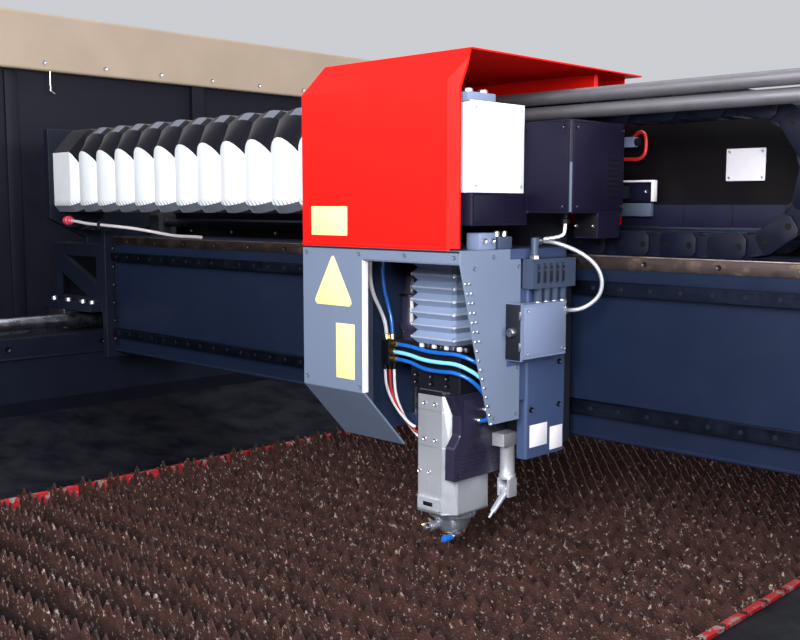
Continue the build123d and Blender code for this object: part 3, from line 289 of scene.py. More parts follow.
@dataclass(frozen=True)
class Paint(Finish):
    """Sprayed paint: orange peel, soft changes of shade, dust on top and chips."""

    roughness: float = 0.35
    coat: float = 0.15
    shade: float = 0.16
    dust: float = 0.18
    chips: float = 0.0
    bare: Colour = (0.22, 0.20, 0.19)
    peel: float = 0.00012
    specular: float = 0.5
    upper: Colour | None = None
    upper_from: float = 0.0

    def mixed(self) -> bpy.types.Material:
        """Make the paint's material, in a second colour above a height where one is given."""
        bench = ShaderBench(self.name)
        clouds = bench.span(bench.noise(2.6, 4.0, 0.6), MOST_NOISE)
        colour = bench.mix(clouds, rgba(self.colour, 1.0 - self.shade), rgba(self.colour, 1.0 + self.shade))
        if self.upper is not None:
            above = bench.span(bench.height(), (self.upper_from, self.upper_from + 0.001))
            colour = bench.mix(above, colour, rgba(self.upper))
        settled = bench.times(bench.span(bench.upward(), (0.5, 1.0), (0.0, self.dust)),
                              bench.span(bench.noise(9.0, 5.0, 0.65), (0.35, 0.6)))
        colour = bench.mix(settled, colour, rgba((0.30, 0.29, 0.28)))
        if self.chips:
            flakes = bench.span(bench.noise(38.0, 6.0, 0.75), (0.62 - self.chips, 0.66 - self.chips))
            colour = bench.mix(flakes, colour, rgba(self.bare))
        rough = bench.span(bench.noise(14.0, 4.0, 0.6), MOST_NOISE,
                           (self.roughness - 0.06, self.roughness + 0.10))
        bench.put(Coat_Weight=self.coat, Coat_Roughness=0.12, Specular_IOR_Level=self.specular)
        return bench.done(colour, rough, bench.relief(bench.noise(420.0, 2.0), self.peel))


@dataclass(frozen=True)
class Steel(Finish):
    """Bare metal with the fine lines of grinding, turning or brushing."""

    roughness: float = 0.28
    lines: Axis = Axis.X
    shade: float = 0.14
    stain: float = 0.0
    stain_colour: Colour = (0.16, 0.11, 0.08)
    metallic: float = 1.0

    def mixed(self) -> bpy.types.Material:
        """Make the metal's material."""
        bench = ShaderBench(self.name)
        stretch = tuple(0.02 if axis is self.lines else 1.0 for axis in Axis)
        streaks = bench.noise(900.0, 3.0, 0.6, stretch)
        colour = bench.mix(bench.span(streaks, (0.35, 0.65)), rgba(self.colour, 1.0 - self.shade),
                           rgba(self.colour, 1.0 + self.shade))
        if self.stain:
            spots = bench.span(bench.noise(16.0, 6.0, 0.7), (0.6 - self.stain, 0.8 - self.stain))
            colour = bench.mix(spots, colour, rgba(self.stain_colour))
        rough = bench.span(bench.noise(30.0, 4.0, 0.6), MOST_NOISE,
                           (self.roughness - 0.07, self.roughness + 0.12))
        bench.put(Metallic=self.metallic)
        return bench.done(colour, rough, bench.relief(streaks, 0.00006))


@dataclass(frozen=True)
class BurntSteel(Finish):
    """Rusty slat steel with scorched tips and beads of slag, and painted shade darkening the lower part of
    each slat.
    """

    # Colour of the scorched tips, also used as painted shade low down between the slats.
    scorch_and_shade: Colour = (0.012, 0.0095, 0.013)
    pale: Colour = (0.46, 0.36, 0.32)
    tips: Span = (0.848, 0.872)

    def mixed(self) -> bpy.types.Material:
        """Make the slats' material."""
        bench = ShaderBench(self.name)
        rust = bench.mix(bench.span(bench.noise(26.0, 6.0, 0.7), (0.36, 0.64)), rgba(self.colour, 0.45),
                         rgba(self.colour, 1.35))
        bright = bench.span(bench.noise(90.0, 4.0, 0.7), (0.58, 0.68), (0.0, 0.8))
        colour = bench.mix(bright, rust, rgba(self.pale))
        # Painted shade: below the teeth each slat is darkened towards the scorch colour, as the gaps between
        # slats would be in shade.
        depth = bench.span(bench.height(), (0.79, 0.84), (0.85, 0.0))
        colour = bench.mix(depth, colour, rgba(self.scorch_and_shade))
        burnt = bench.times(bench.span(bench.height(), self.tips), bench.span(bench.noise(55.0), (0.38, 0.6)))
        colour = bench.mix(burnt, colour, rgba(self.scorch_and_shade))
        bench.put(Metallic=0.25, Specular_IOR_Level=0.2)
        rough = bench.span(bench.noise(60.0), MOST_NOISE, (0.5, 0.85))
        beads = bench.relief(bench.cells(260.0), 0.0012)
        return bench.done(colour, rough, bench.relief(bench.noise(180.0, 5.0, 0.7), 0.001, beads))


@dataclass(frozen=True)
class Moulded(Finish):
    """Plastic or rubber with a fine moulded grain."""

    roughness: float = 0.5
    grain: float = 900.0
    depth: float = 0.00005
    shade: float = 0.12
    coat: float = 0.0
    specular: float = 0.5

    def mixed(self) -> bpy.types.Material:
        """Make the plastic's material."""
        bench = ShaderBench(self.name)
        colour = bench.mix(bench.span(bench.noise(12.0, 4.0, 0.6), MOST_NOISE),
                           rgba(self.colour, 1.0 - self.shade), rgba(self.colour, 1.0 + self.shade))
        rough = bench.span(bench.noise(25.0, 4.0), MOST_NOISE, (self.roughness - 0.07, self.roughness + 0.1))
        bench.put(Coat_Weight=self.coat, Coat_Roughness=0.1, Specular_IOR_Level=self.specular)
        return bench.done(colour, rough, bench.relief(bench.cells(self.grain), self.depth))


@dataclass(frozen=True)
class CoatedCloth(Finish):
    """Bellows cloth: a woven base under a coating, with creases across the folds."""

    roughness: float = 0.38
    metallic: float = 0.0
    crease: float = 0.0006
    specular: float = 0.3
    stitched: Span | None = None

    def mixed(self) -> bpy.types.Material:
        """Make the cloth's material."""
        bench = ShaderBench(self.name)
        soft = bench.noise(7.0, 5.0, 0.6, (1.0, 1.0, 0.35))
        colour = bench.mix(bench.span(soft, MOST_NOISE), rgba(self.colour, 0.88), rgba(self.colour, 1.08))
        if self.stitched is not None:
            slanted = self.slanted_ribs(bench)
            colour = bench.mix(bench.times(slanted, bench.span(bench.height(), self.stitched)), colour,
                               rgba(self.colour, 0.12))
        weave = bench.times(bench.ribs(260.0, Axis.Z), bench.ribs(260.0, Axis.X))
        creases = bench.relief(bench.noise(34.0, 3.0, 0.5, (1.6, 1.0, 0.4)), self.crease)
        rough = bench.span(bench.noise(40.0), MOST_NOISE, (self.roughness - 0.08, self.roughness + 0.1))
        bench.put(Metallic=self.metallic, Sheen_Weight=0.1, Sheen_Roughness=0.4,
                  Specular_IOR_Level=self.specular)
        return bench.done(colour, rough, bench.relief(weave, 0.00008, creases))

    @staticmethod
    def slanted_ribs(bench: ShaderBench) -> Socket:
        """Slanted rows of seam stitches, 0 to 0.8."""
        rows = bench.add("ShaderNodeTexWave", wave_type="BANDS", bands_direction="DIAGONAL")
        rows.inputs["Scale"].default_value = 44.0
        rows.inputs["Distortion"].default_value = 0.6
        bench.wire(bench.place, rows.inputs["Vector"])
        return bench.span(rows.outputs["Fac"], (0.55, 0.8), (0.0, 0.8))


NAVY = Paint("navy_paint", (0.0040, 0.0058, 0.0135), 0.48, 0.0, 0.12, 0.04, specular=0.15)
BEAM_NAVY = Paint("beam_paint", (0.0048, 0.0092, 0.0250), 0.44, 0.0, 0.16, 0.03, specular=0.15)
DARK = Paint("dark_paint", (0.0040, 0.0048, 0.0090), 0.52, 0.0, 0.14, 0.04, specular=0.15)
APRON = Paint("apron_paint", (0.0026, 0.0032, 0.0074), 0.52, 0.0, 0.18, 0.03, specular=0.08)
COMB_RED = Paint("comb_paint", (0.34, 0.012, 0.016), 0.48, 0.0, 0.25, 0.05, 0.090, specular=0.2)
DRAWER = Paint("drawer_paint", (0.060, 0.070, 0.090), 0.45, 0.04, 0.18, 0.10, 0.02, specular=0.3)
GUARD_NAVY = Paint("guard_paint", (0.0042, 0.0046, 0.0100), 0.52, 0.0, 0.14, 0.03, specular=0.15)
GUARD_TAN = Paint("tan_paint", (0.275, 0.215, 0.165), 0.45, 0.02, 0.12, specular=0.3)
COVER_BLACK = Paint("cover_paint", (0.0024, 0.0018, 0.0028), 0.50, 0.0, 0.25, 0.02, specular=0.12)
DUCT = Moulded("duct_plastic", (0.0048, 0.0048, 0.0190), 0.48, 700.0, specular=0.15)
BRACKET = Paint("bracket_paint", (0.0050, 0.0070, 0.0150), 0.46, 0.0, 0.22, 0.05, specular=0.15)
SADDLE = Paint("saddle_paint", (0.0065, 0.0075, 0.0130), 0.45, 0.0, 0.20, 0.05, specular=0.2)
SADDLE_RIB = Paint("rib_paint", (0.0065, 0.0075, 0.0130), 0.45, 0.0, 0.20, 0.05, specular=0.2,
                   upper=(0.62, 0.0060, 0.0034), upper_from=1.728)
HOUSING = Paint("housing_paint", (0.0290, 0.0460, 0.1050), 0.42, 0.0, 0.20, 0.05, specular=0.25)
RED = Paint("signal_red_paint", (0.55, 0.0052, 0.0030), 0.46, 0.0, 0.05, 0.0, specular=0.08)
SHELL = Paint("shell_paint", (0.104, 0.132, 0.196), 0.44, 0.02, 0.06, 0.03, specular=0.3)
SHELL_DARK = Paint("shell_edge_paint", (0.070, 0.089, 0.134), 0.44, 0.02, 0.08, 0.03, specular=0.3)
WHITE = Moulded("white_plastic", (0.55, 0.565, 0.61), 0.42, 500.0, 0.00004, 0.02, specular=0.3)
BLACK = Paint("textured_black_paint", (0.0034, 0.0025, 0.0112), 0.50, 0.0, 0.18, 0.03, peel=0.0003,
              specular=0.15)
BOX_GREY = Paint("box_paint", (0.122, 0.152, 0.245), 0.42, 0.02, 0.08, 0.03, specular=0.3)
MANIFOLD = Moulded("valve_plastic", (0.030, 0.042, 0.076), 0.44, 600.0, specular=0.25)
MOTOR = Paint("motor_paint", (0.0050, 0.0050, 0.0075), 0.42, 0.03, 0.18, 0.05, specular=0.25)
MOUNT = Paint("mount_paint", (0.0055, 0.0058, 0.0100), 0.40, 0.0, 0.18, 0.03, specular=0.3)
GLOSS = Moulded("gloss_plastic", (0.0185, 0.0165, 0.0360), 0.26, 300.0, 0.00002, 0.10, 0.15, 0.4)
RUBBER = Moulded("black_rubber", (0.006, 0.006, 0.008), 0.72, 500.0, 0.0001, specular=0.2)
LINK = Moulded("chain_plastic", (0.0014, 0.0022, 0.0085), 0.48, 500.0, 0.00006, 0.2, specular=0.15)
LIFT_CLOTH = CoatedCloth("lift_bellows_cloth", (0.200, 0.260, 0.400), 0.45)
HEM = CoatedCloth("hem_tape", (0.32, 0.38, 0.50), 0.42)
SILVER_CLOTH = CoatedCloth("silver_cloth", (0.58, 0.605, 0.64), 0.40, 0.05, stitched=(1.562, 1.549))
NAVY_CLOTH = CoatedCloth("navy_cloth", (0.0024, 0.0022, 0.0064), 0.55, specular=0.08)
GREY_CLOTH_AND_HIGHLIGHT = CoatedCloth("grey_cloth_and_ridge_highlight", (0.085, 0.095, 0.125), 0.45)
GROUND = Steel("ground_steel", (0.36, 0.38, 0.43), 0.28, Axis.Y)
GROUND_X = Steel("rail_steel", (0.018, 0.023, 0.042), 0.36, Axis.X)
GROUND_Z = Steel("ground_steel_z", (0.52, 0.54, 0.58), 0.24, Axis.Z)
MACHINED = Steel("machined_steel", (0.22, 0.23, 0.27), 0.38, Axis.Y, 0.16, 0.06)
STRIP = Steel("machined_strip_steel", (0.060, 0.045, 0.043), 0.48, Axis.X, 0.25, 0.10)
STRIP_EDGE = Steel("strip_edge_steel", (0.30, 0.26, 0.26), 0.40, Axis.X, 0.2, 0.10)
FOOT = Steel("zinc_steel", (0.34, 0.35, 0.37), 0.38, Axis.Z, 0.12, 0.08)
CHROME = Steel("rod_steel", (0.106, 0.103, 0.118), 0.50, Axis.X, 0.10, 0.02, (0.08, 0.07, 0.07), 0.7)
SCREW = Steel("black_screw_steel", (0.045, 0.045, 0.056), 0.38, Axis.Z)
ZINC = Steel("zinc_screw_steel", (0.50, 0.51, 0.55), 0.30, Axis.Z)
SILVER = Steel("head_aluminium", (0.39, 0.41, 0.46), 0.36, Axis.Z, 0.06, metallic=0.5)
SENSOR = Steel("sensor_steel", (0.34, 0.36, 0.43), 0.34, Axis.Z, 0.12, 0.03, metallic=0.8)
ALUMINIUM = Steel("cartridge_aluminium", (0.54, 0.56, 0.62), 0.34, Axis.X, metallic=0.6)
COPPER = Steel("nozzle_copper", (0.80, 0.38, 0.20), 0.22, Axis.Z, 0.10, 0.05)
BRASS = Steel("fitting_brass", (0.72, 0.52, 0.24), 0.28, Axis.Z, 0.10)
CERAMIC = Moulded("glazed_ceramic", (0.74, 0.73, 0.68), 0.14, 250.0, 0.00002, 0.04, 0.5)
SLAT = BurntSteel("slat_steel", (0.046, 0.020, 0.016))
FIBRE = Moulded("fibre_sheath", (0.006, 0.006, 0.009), 0.34, 700.0, 0.00005, 0.10, 0.1, 0.3)
ARMOUR = Steel("cable_armour", (0.70, 0.72, 0.78), 0.32, Axis.Z, 0.10, metallic=0.7)
TUBE_BLUE = Moulded("blue_tube", (0.008, 0.105, 0.44), 0.24, 300.0, 0.00002, 0.10, 0.3)
# Lighter cyan copy of the blue tube: a painted highlight along the middle tube of the band.
TUBE_HIGHLIGHT = Moulded("blue_tube_painted_highlight", (0.20, 0.56, 0.74), 0.22, 300.0, 0.00002, 0.06, 0.3)
WIRE_WHITE = Moulded("white_sheath", (0.66, 0.65, 0.71), 0.45, 400.0, 0.00004, 0.08)
WIRE_RED = Moulded("red_sheath", (0.42, 0.012, 0.014), 0.40, 400.0, 0.00004, 0.08)
PLATE_BLANK = Moulded("blank_plate", (0.76, 0.64, 0.27), 0.46, 600.0, 0.00003, 0.04, specular=0.3)
PLATE_PALE = Moulded("pale_plate", (0.62, 0.60, 0.66), 0.42, 600.0, 0.00003, 0.05, specular=0.3)
PALE_HOSE = Moulded("pale_hose", (0.46, 0.42, 0.44), 0.40, 300.0, 0.00006, 0.12)
PINK = Moulded("pink_fitting", (0.50, 0.045, 0.075), 0.35, 300.0, 0.00003, 0.08)
FLOOR = Paint("pale_floor", (0.70, 0.71, 0.72), 0.55, 0.0, 0.03, 0.0)


@cache
def material_of(finish: Finish) -> bpy.types.Material:
    """The finish's material, made once."""
    return finish.mixed()


# Shapes

def matrix_to(axis: Vector) -> Matrix:
    """Turn from the Z axis to another direction."""
    return axis.to_track_quat("Z", "Y").to_matrix().to_4x4()


def soften(shape: bmesh.types.BMesh, width: float, angle: float = 0.6) -> bmesh.types.BMesh:
    """Round the sharp edges of a shape.

    Args:
        shape: The shape.
        width: Width of the rounding.
        angle: Edges that turn less than this, in radians, stay.

    Returns:
        The same shape.
    """
    if width > 0.0:
        sharp = [edge for edge in shape.edges
                 if len(edge.link_faces) == 2 and edge.calc_face_angle(0.0) > angle]
        bmesh.ops.bevel(shape, geom=sharp, offset=width, offset_type="OFFSET", segments=BEVEL_SEGMENTS,
                        profile=0.5, affect="EDGES", clamp_overlap=True, material=-1)
    return shape


def box(x: Span, y: Span, z: Span, edge: float = 0.0) -> bmesh.types.BMesh:
    """Box between two X, two Y and two Z values.

    Args:
        x: The two X values.
        y: The two Y values.
        z: The two Z values.
        edge: Width of its rounded edges.

    Returns:
        The shape.
    """
    shape = bmesh.new()
    bmesh.ops.create_cube(shape, size=1.0)
    middle = Vector([(a + b) / 2 for a, b in (x, y, z)])
    size = [abs(b - a) for a, b in (x, y, z)]
    bmesh.ops.transform(shape, matrix=Matrix.Translation(middle) @ Matrix.Diagonal((*size, 1.0)),
                        verts=shape.verts)
    return soften(shape, edge)


def rod(start: Point, end: Point, radius: float, end_radius: float | None = None, sides: int = 24,
        edge: float = 0.0) -> bmesh.types.BMesh:
    """Round bar or cone between two points.

    Args:
        start: Middle of the first end.
        end: Middle of the second end.
        radius: Radius at the first end.
        end_radius: Radius at the second end, the same unless given.
        sides: Number of sides.
        edge: Width of its rounded end edges.

    Returns:
        The shape.
    """
    shape = bmesh.new()
    first, second = Vector(start), Vector(end)
    bmesh.ops.create_cone(shape, cap_ends=True, segments=sides, radius1=radius,
                          radius2=radius if end_radius is None else end_radius,
                          depth=(second - first).length)
    bmesh.ops.transform(shape, matrix=Matrix.Translation((first + second) / 2) @ matrix_to(second - first),
                        verts=shape.verts)
    return soften(shape, edge, ROUND_ANGLE)


def plate(outline: Outline, axis: Axis, reach: Span, edge: float = 0.0) -> bmesh.types.BMesh:
    """Flat outline drawn out along an axis.

    Args:
        outline: Corners in the two other axes, in their order.
        axis: The axis that it is drawn out along.
        reach: First and last place on that axis.
        edge: Width of its rounded edges.

    Returns:
        The shape.
    """
    shape = bmesh.new()
    corners = []
    for first, second in outline:
        corner = [first, second]
        corner.insert(axis.value, min(reach))
        corners.append(shape.verts.new(corner))
    face = shape.faces.new(corners)
    grown = bmesh.ops.extrude_face_region(shape, geom=[face])["geom"]
    shift = Vector([abs(reach[1] - reach[0]) if other is axis else 0.0 for other in Axis])
    moved = [item for item in grown if isinstance(item, bmesh.types.BMVert)]
    bmesh.ops.translate(shape, vec=shift, verts=moved)
    bmesh.ops.recalc_face_normals(shape, faces=shape.faces)
    return soften(shape, edge)


def lathe(profile: Outline, base: Point, axis: Axis = Axis.Z, steps: int = 32) -> bmesh.types.BMesh:
    """Closed profile spun round an axis.

    Args:
        profile: Corners as (radius, height) round the profile, or from pole to pole.
        base: Where height and radius are zero.
        axis: The axis it is spun round.
        steps: Number of steps.

    Returns:
        The shape.
    """
    shape = bmesh.new()
    corners = [shape.verts.new((radius, 0.0, height)) for radius, height in profile]
    edges = [shape.edges.new(pair) for pair in zip(corners, corners[1:])]
    bmesh.ops.spin(shape, geom=corners + edges, cent=(0, 0, 0), axis=(0, 0, 1), angle=math.tau, steps=steps,
                   use_merge=True)
    bmesh.ops.remove_doubles(shape, verts=shape.verts, dist=0.001)
    bmesh.ops.recalc_face_normals(shape, faces=shape.faces)
    way = Vector([1.0 if other is axis else 0.0 for other in Axis])
    bmesh.ops.transform(shape, matrix=Matrix.Translation(base) @ matrix_to(way), verts=shape.verts)
    return shape


def hex_screw(head: Point, way: Vector, radius: float = 5.0, rise: float = 4.0) -> bmesh.types.BMesh:
    """Socket screw head with its hexagonal recess.

    Args:
        head: Middle of the head's seat.
        way: Direction that the head looks in.
        radius: Radius of the head.
        rise: Height of the head.

    Returns:
        The shape.
    """
    shape = bmesh.new()
    bmesh.ops.create_cone(shape, cap_ends=True, segments=18, radius1=radius, radius2=radius * 0.94,
                          depth=rise)
    top = max(shape.faces, key=lambda face: face.calc_center_median().z)
    bmesh.ops.inset_individual(shape, faces=[top], thickness=radius * 0.42)
    bmesh.ops.translate(shape, vec=(0, 0, -rise * 0.6), verts=list(top.verts))
    matrix = Matrix.Translation(Vector(head) + way.normalized() * rise / 2) @ matrix_to(way)
    bmesh.ops.transform(shape, matrix=matrix, verts=shape.verts)
    return shape


def ring_edges(corners: Sequence[bmesh.types.BMVert], shape: bmesh.types.BMesh) -> list[bmesh.types.BMEdge]:
    """Edges that join the corners of one ring in their order."""
    return [shape.edges.new(pair) for pair in zip(corners, [*corners[1:], corners[0]])]


def skin(rings: Iterable[Sequence[Point]], thickness: float = 0.0) -> bmesh.types.BMesh:
    """Cloth drawn over closed rings that follow each other.

    Args:
        rings: Corners of each ring, as many in each.
        thickness: Thickness of the cloth, inwards.

    Returns:
        The shape.
    """
    shape = bmesh.new()
    loops = [ring_edges([shape.verts.new(corner) for corner in ring], shape) for ring in rings]
    for first, second in zip(loops, loops[1:]):
        bmesh.ops.bridge_loops(shape, edges=first + second)
    bmesh.ops.recalc_face_normals(shape, faces=shape.faces)
    if thickness:
        bmesh.ops.solidify(shape, geom=shape.faces[:], thickness=thickness)
    return shape


def tube(line: Sequence[Vector], radius: float, sides: int = 14, rib: float = 0.0) -> bmesh.types.BMesh:
    """Round tube along a line, closed at both ends.

    Args:
        line: Points of its middle.
        radius: Its radius.
        sides: Number of sides.
        rib: How much thinner every second ring is.

    Returns:
        The shape.
    """
    shape = bmesh.new()
    last = len(line) - 1
    loops = []
    for index, here in enumerate(line):
        way = line[min(index + 1, last)] - line[max(index - 1, 0)]
        wide = radius - (rib if index % 2 else 0.0)
        corners = bmesh.ops.create_circle(shape, cap_ends=index in (0, last), segments=sides, radius=wide,
                                          matrix=Matrix.Translation(here) @ matrix_to(way))["verts"]
        loops.append(list({edge for corner in corners for edge in corner.link_edges}))
    for first, second in zip(loops, loops[1:]):
        bmesh.ops.bridge_loops(shape, edges=first + second)
    bmesh.ops.recalc_face_normals(shape, faces=shape.faces)
    return shape


def smooth_line(route: Sequence[Point], resolution: int = 8) -> list[Vector]:
    """Smooth line of a cord round the corner points of its route.

    Args:
        route: The control points, in metres.
        resolution: Points for each control point.

    Returns:
        Points of the line, in metres.
    """
    curve = bpy.data.curves.new("line", "CURVE")
    curve.dimensions = "3D"
    curve.resolution_u = resolution
    spline = curve.splines.new("NURBS")
    spline.points.add(len(route) - 1)
    for point, place in zip(spline.points, route):
        point.co = (*place, 1.0)
    spline.order_u = 3
    spline.use_endpoint_u = True
    holder = bpy.data.objects.new("line", curve)
    drawn = bpy.data.meshes.new_from_object(holder)
    line = [corner.co.copy() for corner in drawn.vertices]
    bpy.data.objects.remove(holder)
    bpy.data.curves.remove(curve)
    bpy.data.meshes.remove(drawn)
    return line


def spaced(line: Sequence[Vector], step: float) -> list[Vector]:
    """Points at even steps along a line, for what is wound round it."""
    found = [line[0]]
    rest = step
    for start, end in zip(line, line[1:]):
        run = (end - start).length
        while rest <= run:
            found.append(start.lerp(end, rest / run))
            rest += step
        rest -= run
    return found


Place = Point | Matrix
FinishRule = Finish | Callable[[bmesh.types.BMFace], Finish]


class Piece:
    """One piece of the scene, gathered from shapes in millimetres."""

    def __init__(self, name: str) -> None:
        """Start an empty piece.

        Args:
            name: The piece's name.
        """
        self.name = name
        self.stock = bmesh.new()
        self.finishes: list[Finish] = []

    def add(self, shape: bmesh.types.BMesh, finish: FinishRule,
            places: Iterable[Place] = ((0, 0, 0),)) -> None:
        """Add a shape, once or at several places.

        Args:
            shape: The shape, which is used up.
            finish: Its finish, or a rule that gives each face one.
            places: How far each copy is moved, or the matrix that places it.
        """
        for face in shape.faces:
            chosen = finish(face) if callable(finish) else finish
            if chosen not in self.finishes:
                self.finishes.append(chosen)
            face.material_index = self.finishes.index(chosen)
        scratch = bpy.data.meshes.new("scratch")
        for place in places:
            copy = shape.copy()
            matrix = place if isinstance(place, Matrix) else Matrix.Translation(place)
            bmesh.ops.transform(copy, matrix=matrix, verts=copy.verts)
            copy.to_mesh(scratch)
            self.stock.from_mesh(scratch)
            copy.free()
        bpy.data.meshes.remove(scratch)
        shape.free()

    def screws(self, way: Vector, radius: float, rise: float, finish: Finish,
               places: Iterable[Point]) -> None:
        """Set a socket screw at each place.

        Args:
            way: Direction that the heads look in.
            radius: Radius of a head.
            rise: Height of a head.
            finish: Their finish.
            places: Middle of each seat.
        """
        for place in places:
            self.add(hex_screw(place, way, radius, rise), finish)

    def boxes(self, finish: Finish, edge: float, *spans: Block) -> None:
        """Add boxes that share a finish and the width of their rounded edges."""
        for x, y, z in spans:
            self.add(box(x, y, z, edge), finish)

    def turned(self, finish: Finish, axis: Axis, steps: int, profile: Outline, *bases: Point) -> None:
        """Spin one profile round an axis at each base."""
        for base in bases:
            self.add(lathe(profile, base, axis, steps), finish)

    def hose(self, finish: Finish, radius: float, sides: int, *points: Point) -> None:
        """Draw a round hose past points in millimetres."""
        self.add(tube([point / MM for point in smooth_line(route(*points))], radius, sides), finish)

    def finish(self, body: str | None, slot: str, replaces: Sequence[str] = (),
               angle: float = SMOOTH_ANGLE) -> bpy.types.Object:
        """Turn the piece into an object in metres and put it on its body.

        Args:
            body: The body it rides on, or None where it is blended.
            slot: Not used.
            replaces: CAD nodes that it stands for.
            angle: Edges that turn more than this stay sharp.

        Returns:
            The object.
        """
        bmesh.ops.scale(self.stock, vec=(MM, MM, MM), verts=self.stock.verts)
        mesh = bpy.data.meshes.new(self.name)
        self.stock.to_mesh(mesh)
        self.stock.free()
        for finish in self.finishes:
            mesh.materials.append(material_of(finish))
        mesh.shade_smooth()
        mesh.set_sharp_from_angle(angle=angle)
        made = bpy.data.objects.new(self.name, mesh)
        bpy.context.scene.collection.objects.link(made)
        if body is not None:
            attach(made, body)
        if replaces:
            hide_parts(*replaces)
        log.info("%s: %d faces", self.name, len(mesh.polygons))
        return made


# Studio

@dataclass
class Studio:
    """Camera, pale floor and soft lights."""

    eye: Point = (1.607, -1.495, 1.540)
    yaw: float = 43.671
    pitch: float = -6.491
    roll: float = 0.1458
    lens: float = 46.99
    shift: Span = (-0.02875, 0.00875)
    floor_half: float = 14000.0

    def camera(self) -> None:
        """Place the camera where the photograph was taken from."""
        data = bpy.data.cameras.new("camera")
        data.lens = self.lens
        data.sensor_width = 36.0
        data.shift_x, data.shift_y = self.shift
        data.clip_start = 0.02
        eye = bpy.data.objects.new("camera", data)
        turn = Matrix.Rotation(math.radians(self.yaw), 4, "Z")
        tilt = Matrix.Rotation(math.radians(90.0 + self.pitch), 4, "X")
        lean = Matrix.Rotation(math.radians(self.roll), 4, "Z")
        eye.matrix_world = Matrix.Translation(self.eye) @ turn @ tilt @ lean
        bpy.context.scene.collection.objects.link(eye)
        bpy.context.scene.camera = eye

    def light(self, name: str, place: Point, target: Point, size: float, power: float,
              colour: Colour = (1.0, 1.0, 1.0)) -> None:
        """Hang one soft area light.

        Args:
            name: Its name.
            place: Where it hangs, in metres.
            target: What it looks at, in metres.
            size: Its side, in metres.
            power: Its power in watts.
            colour: Its colour.
        """
        data = bpy.data.lights.new(name, "AREA")
        data.shape = "SQUARE"
        data.size = size
        data.energy = power
        data.color = colour
        lamp = bpy.data.objects.new(name, data)
        lamp.location = place
        lamp.rotation_euler = (Vector(target) - Vector(place)).to_track_quat("-Z", "Y").to_euler()
        bpy.context.scene.collection.objects.link(lamp)

    def build(self) -> None:
        """Set up camera, lights, world and floor."""
        self.camera()
        self.light("key_light", (1.9, -3.3, 2.7), (0.1, 0.0, 1.4), 1.4, 225.0)
        self.light("front_light", (1.78, -1.62, 1.86), (0.27, -0.05, 1.25), 0.4, 26.0)
        self.light("low_light", (2.0, -0.8, 1.1), (0.35, 0.1, 1.78), 0.6, 32.0)
        self.light("fill_light", (-3.2, -3.4, 3.4), (-0.4, 0.1, 1.4), 2.6, 150.0)
        self.light("top_light", (0.5, 0.6, 5.2), (0.0, 0.2, 1.0), 4.0, 150.0)
        self.light("side_light", (4.6, 0.4, 2.4), (0.5, 0.0, 1.4), 1.8, 185.0)
        world = bpy.data.worlds.new("studio")
        world.use_nodes = True
        background = world.node_tree.nodes["Background"]
        background.inputs["Color"].default_value = (0.80, 0.82, 0.86, 1.0)
        background.inputs["Strength"].default_value = 0.75
        bpy.context.scene.world = world
        bpy.context.scene.view_settings.view_transform = "Standard"
        floor = Piece("studio_floor")
        half = self.floor_half
        floor.add(box((-half, half), (-half, half), (-20.0, -1.0)), FLOOR)
        ground = bpy.data.meshes.new("studio_floor")
        bmesh.ops.scale(floor.stock, vec=(MM, MM, MM), verts=floor.stock.verts)
        floor.stock.to_mesh(ground)
        ground.materials.append(material_of(FLOOR))
        slab = bpy.data.objects.new("studio_floor", ground)
        bpy.context.scene.collection.objects.link(slab)


# CAD nodes that keep their shape

NODE_FINISHES: dict[str, Finish] = {
    "left_side_frame": NAVY, "right_side_frame": NAVY, "end_cross_beams": DARK, "table_frame": DARK,
    "comb_rails": COMB_RED, "side_aprons": APRON, "end_aprons": APRON, "drawer_runners": DARK,
    "front_slag_drawer": DRAWER, "rear_slag_drawer": DRAWER, "levelling_feet": FOOT,
    "y_guide_rails": GROUND, "guide_rail_buffers": RUBBER, "y_screw_bearings": MACHINED,
    "y_motors": MOTOR, "left_y_screw": GROUND, "right_y_screw": GROUND, "guard_panel": GUARD_NAVY,
    "guard_top_rail": GUARD_TAN, "gantry_beam": BEAM_NAVY, "left_end_bracket": BRACKET,
    "right_end_bracket": BRACKET, "y_bearing_blocks": MACHINED, "y_screw_nuts": MACHINED,
    "x_guide_rails": GROUND_X, "guide_rods": CHROME, "gantry_rear_cover": COVER_BLACK,
    "x_screw_bearings": MACHINED, "x_motor": MOTOR, "x_screw": GROUND_X, "carriage_saddle": SADDLE_RIB,
    "x_bearing_blocks": MACHINED, "z_housing": HOUSING, "z_guide_rails": GROUND_Z, "hood": RED,
    "front_shell": SHELL, "white_side_panel": WHITE, "control_box": BLACK, "junction_box": BOX_GREY,
    "valve_block": MANIFOLD, "z_motor": MOTOR, "z_screw": GROUND_Z, "z_plate": MOUNT,
    "z_bearing_blocks": MACHINED, "head_body": SILVER, "window_cartridge": ALUMINIUM,
    "drive_housing": GLOSS, "sensor_body": SENSOR, "ceramic_ring": CERAMIC, "nozzle_tip": COPPER,
    "collimator": GLOSS, "spray_unit": ALUMINIUM, "spray_nozzle": ALUMINIUM,
}

SOFT_EDGES: dict[str, float] = {
    "left_side_frame": 4.0, "right_side_frame": 4.0, "gantry_beam": 6.0, "left_end_bracket": 2.0,
    "right_end_bracket": 2.0, "hood": 1.2, "front_shell": 0.9, "control_box": 2.0, "junction_box": 1.5,
    "z_housing": 1.5, "z_plate": 1.5, "head_body": 2.2, "drive_housing": 2.5, "valve_block": 0.8,
    "z_motor": 2.0, "x_motor": 2.0, "y_motors": 2.5, "window_cartridge": 0.8, "comb_rails": 0.8,
    "y_bearing_blocks": 2.0, "x_bearing_blocks": 1.5, "front_slag_drawer": 1.5,
    "rear_slag_drawer": 1.5, "end_cross_beams": 4.0, "table_frame": 2.0, "guard_panel": 1.0,
    "carriage_saddle": 1.5, "gantry_rear_cover": 0.6, "white_side_panel": 1.5,
}

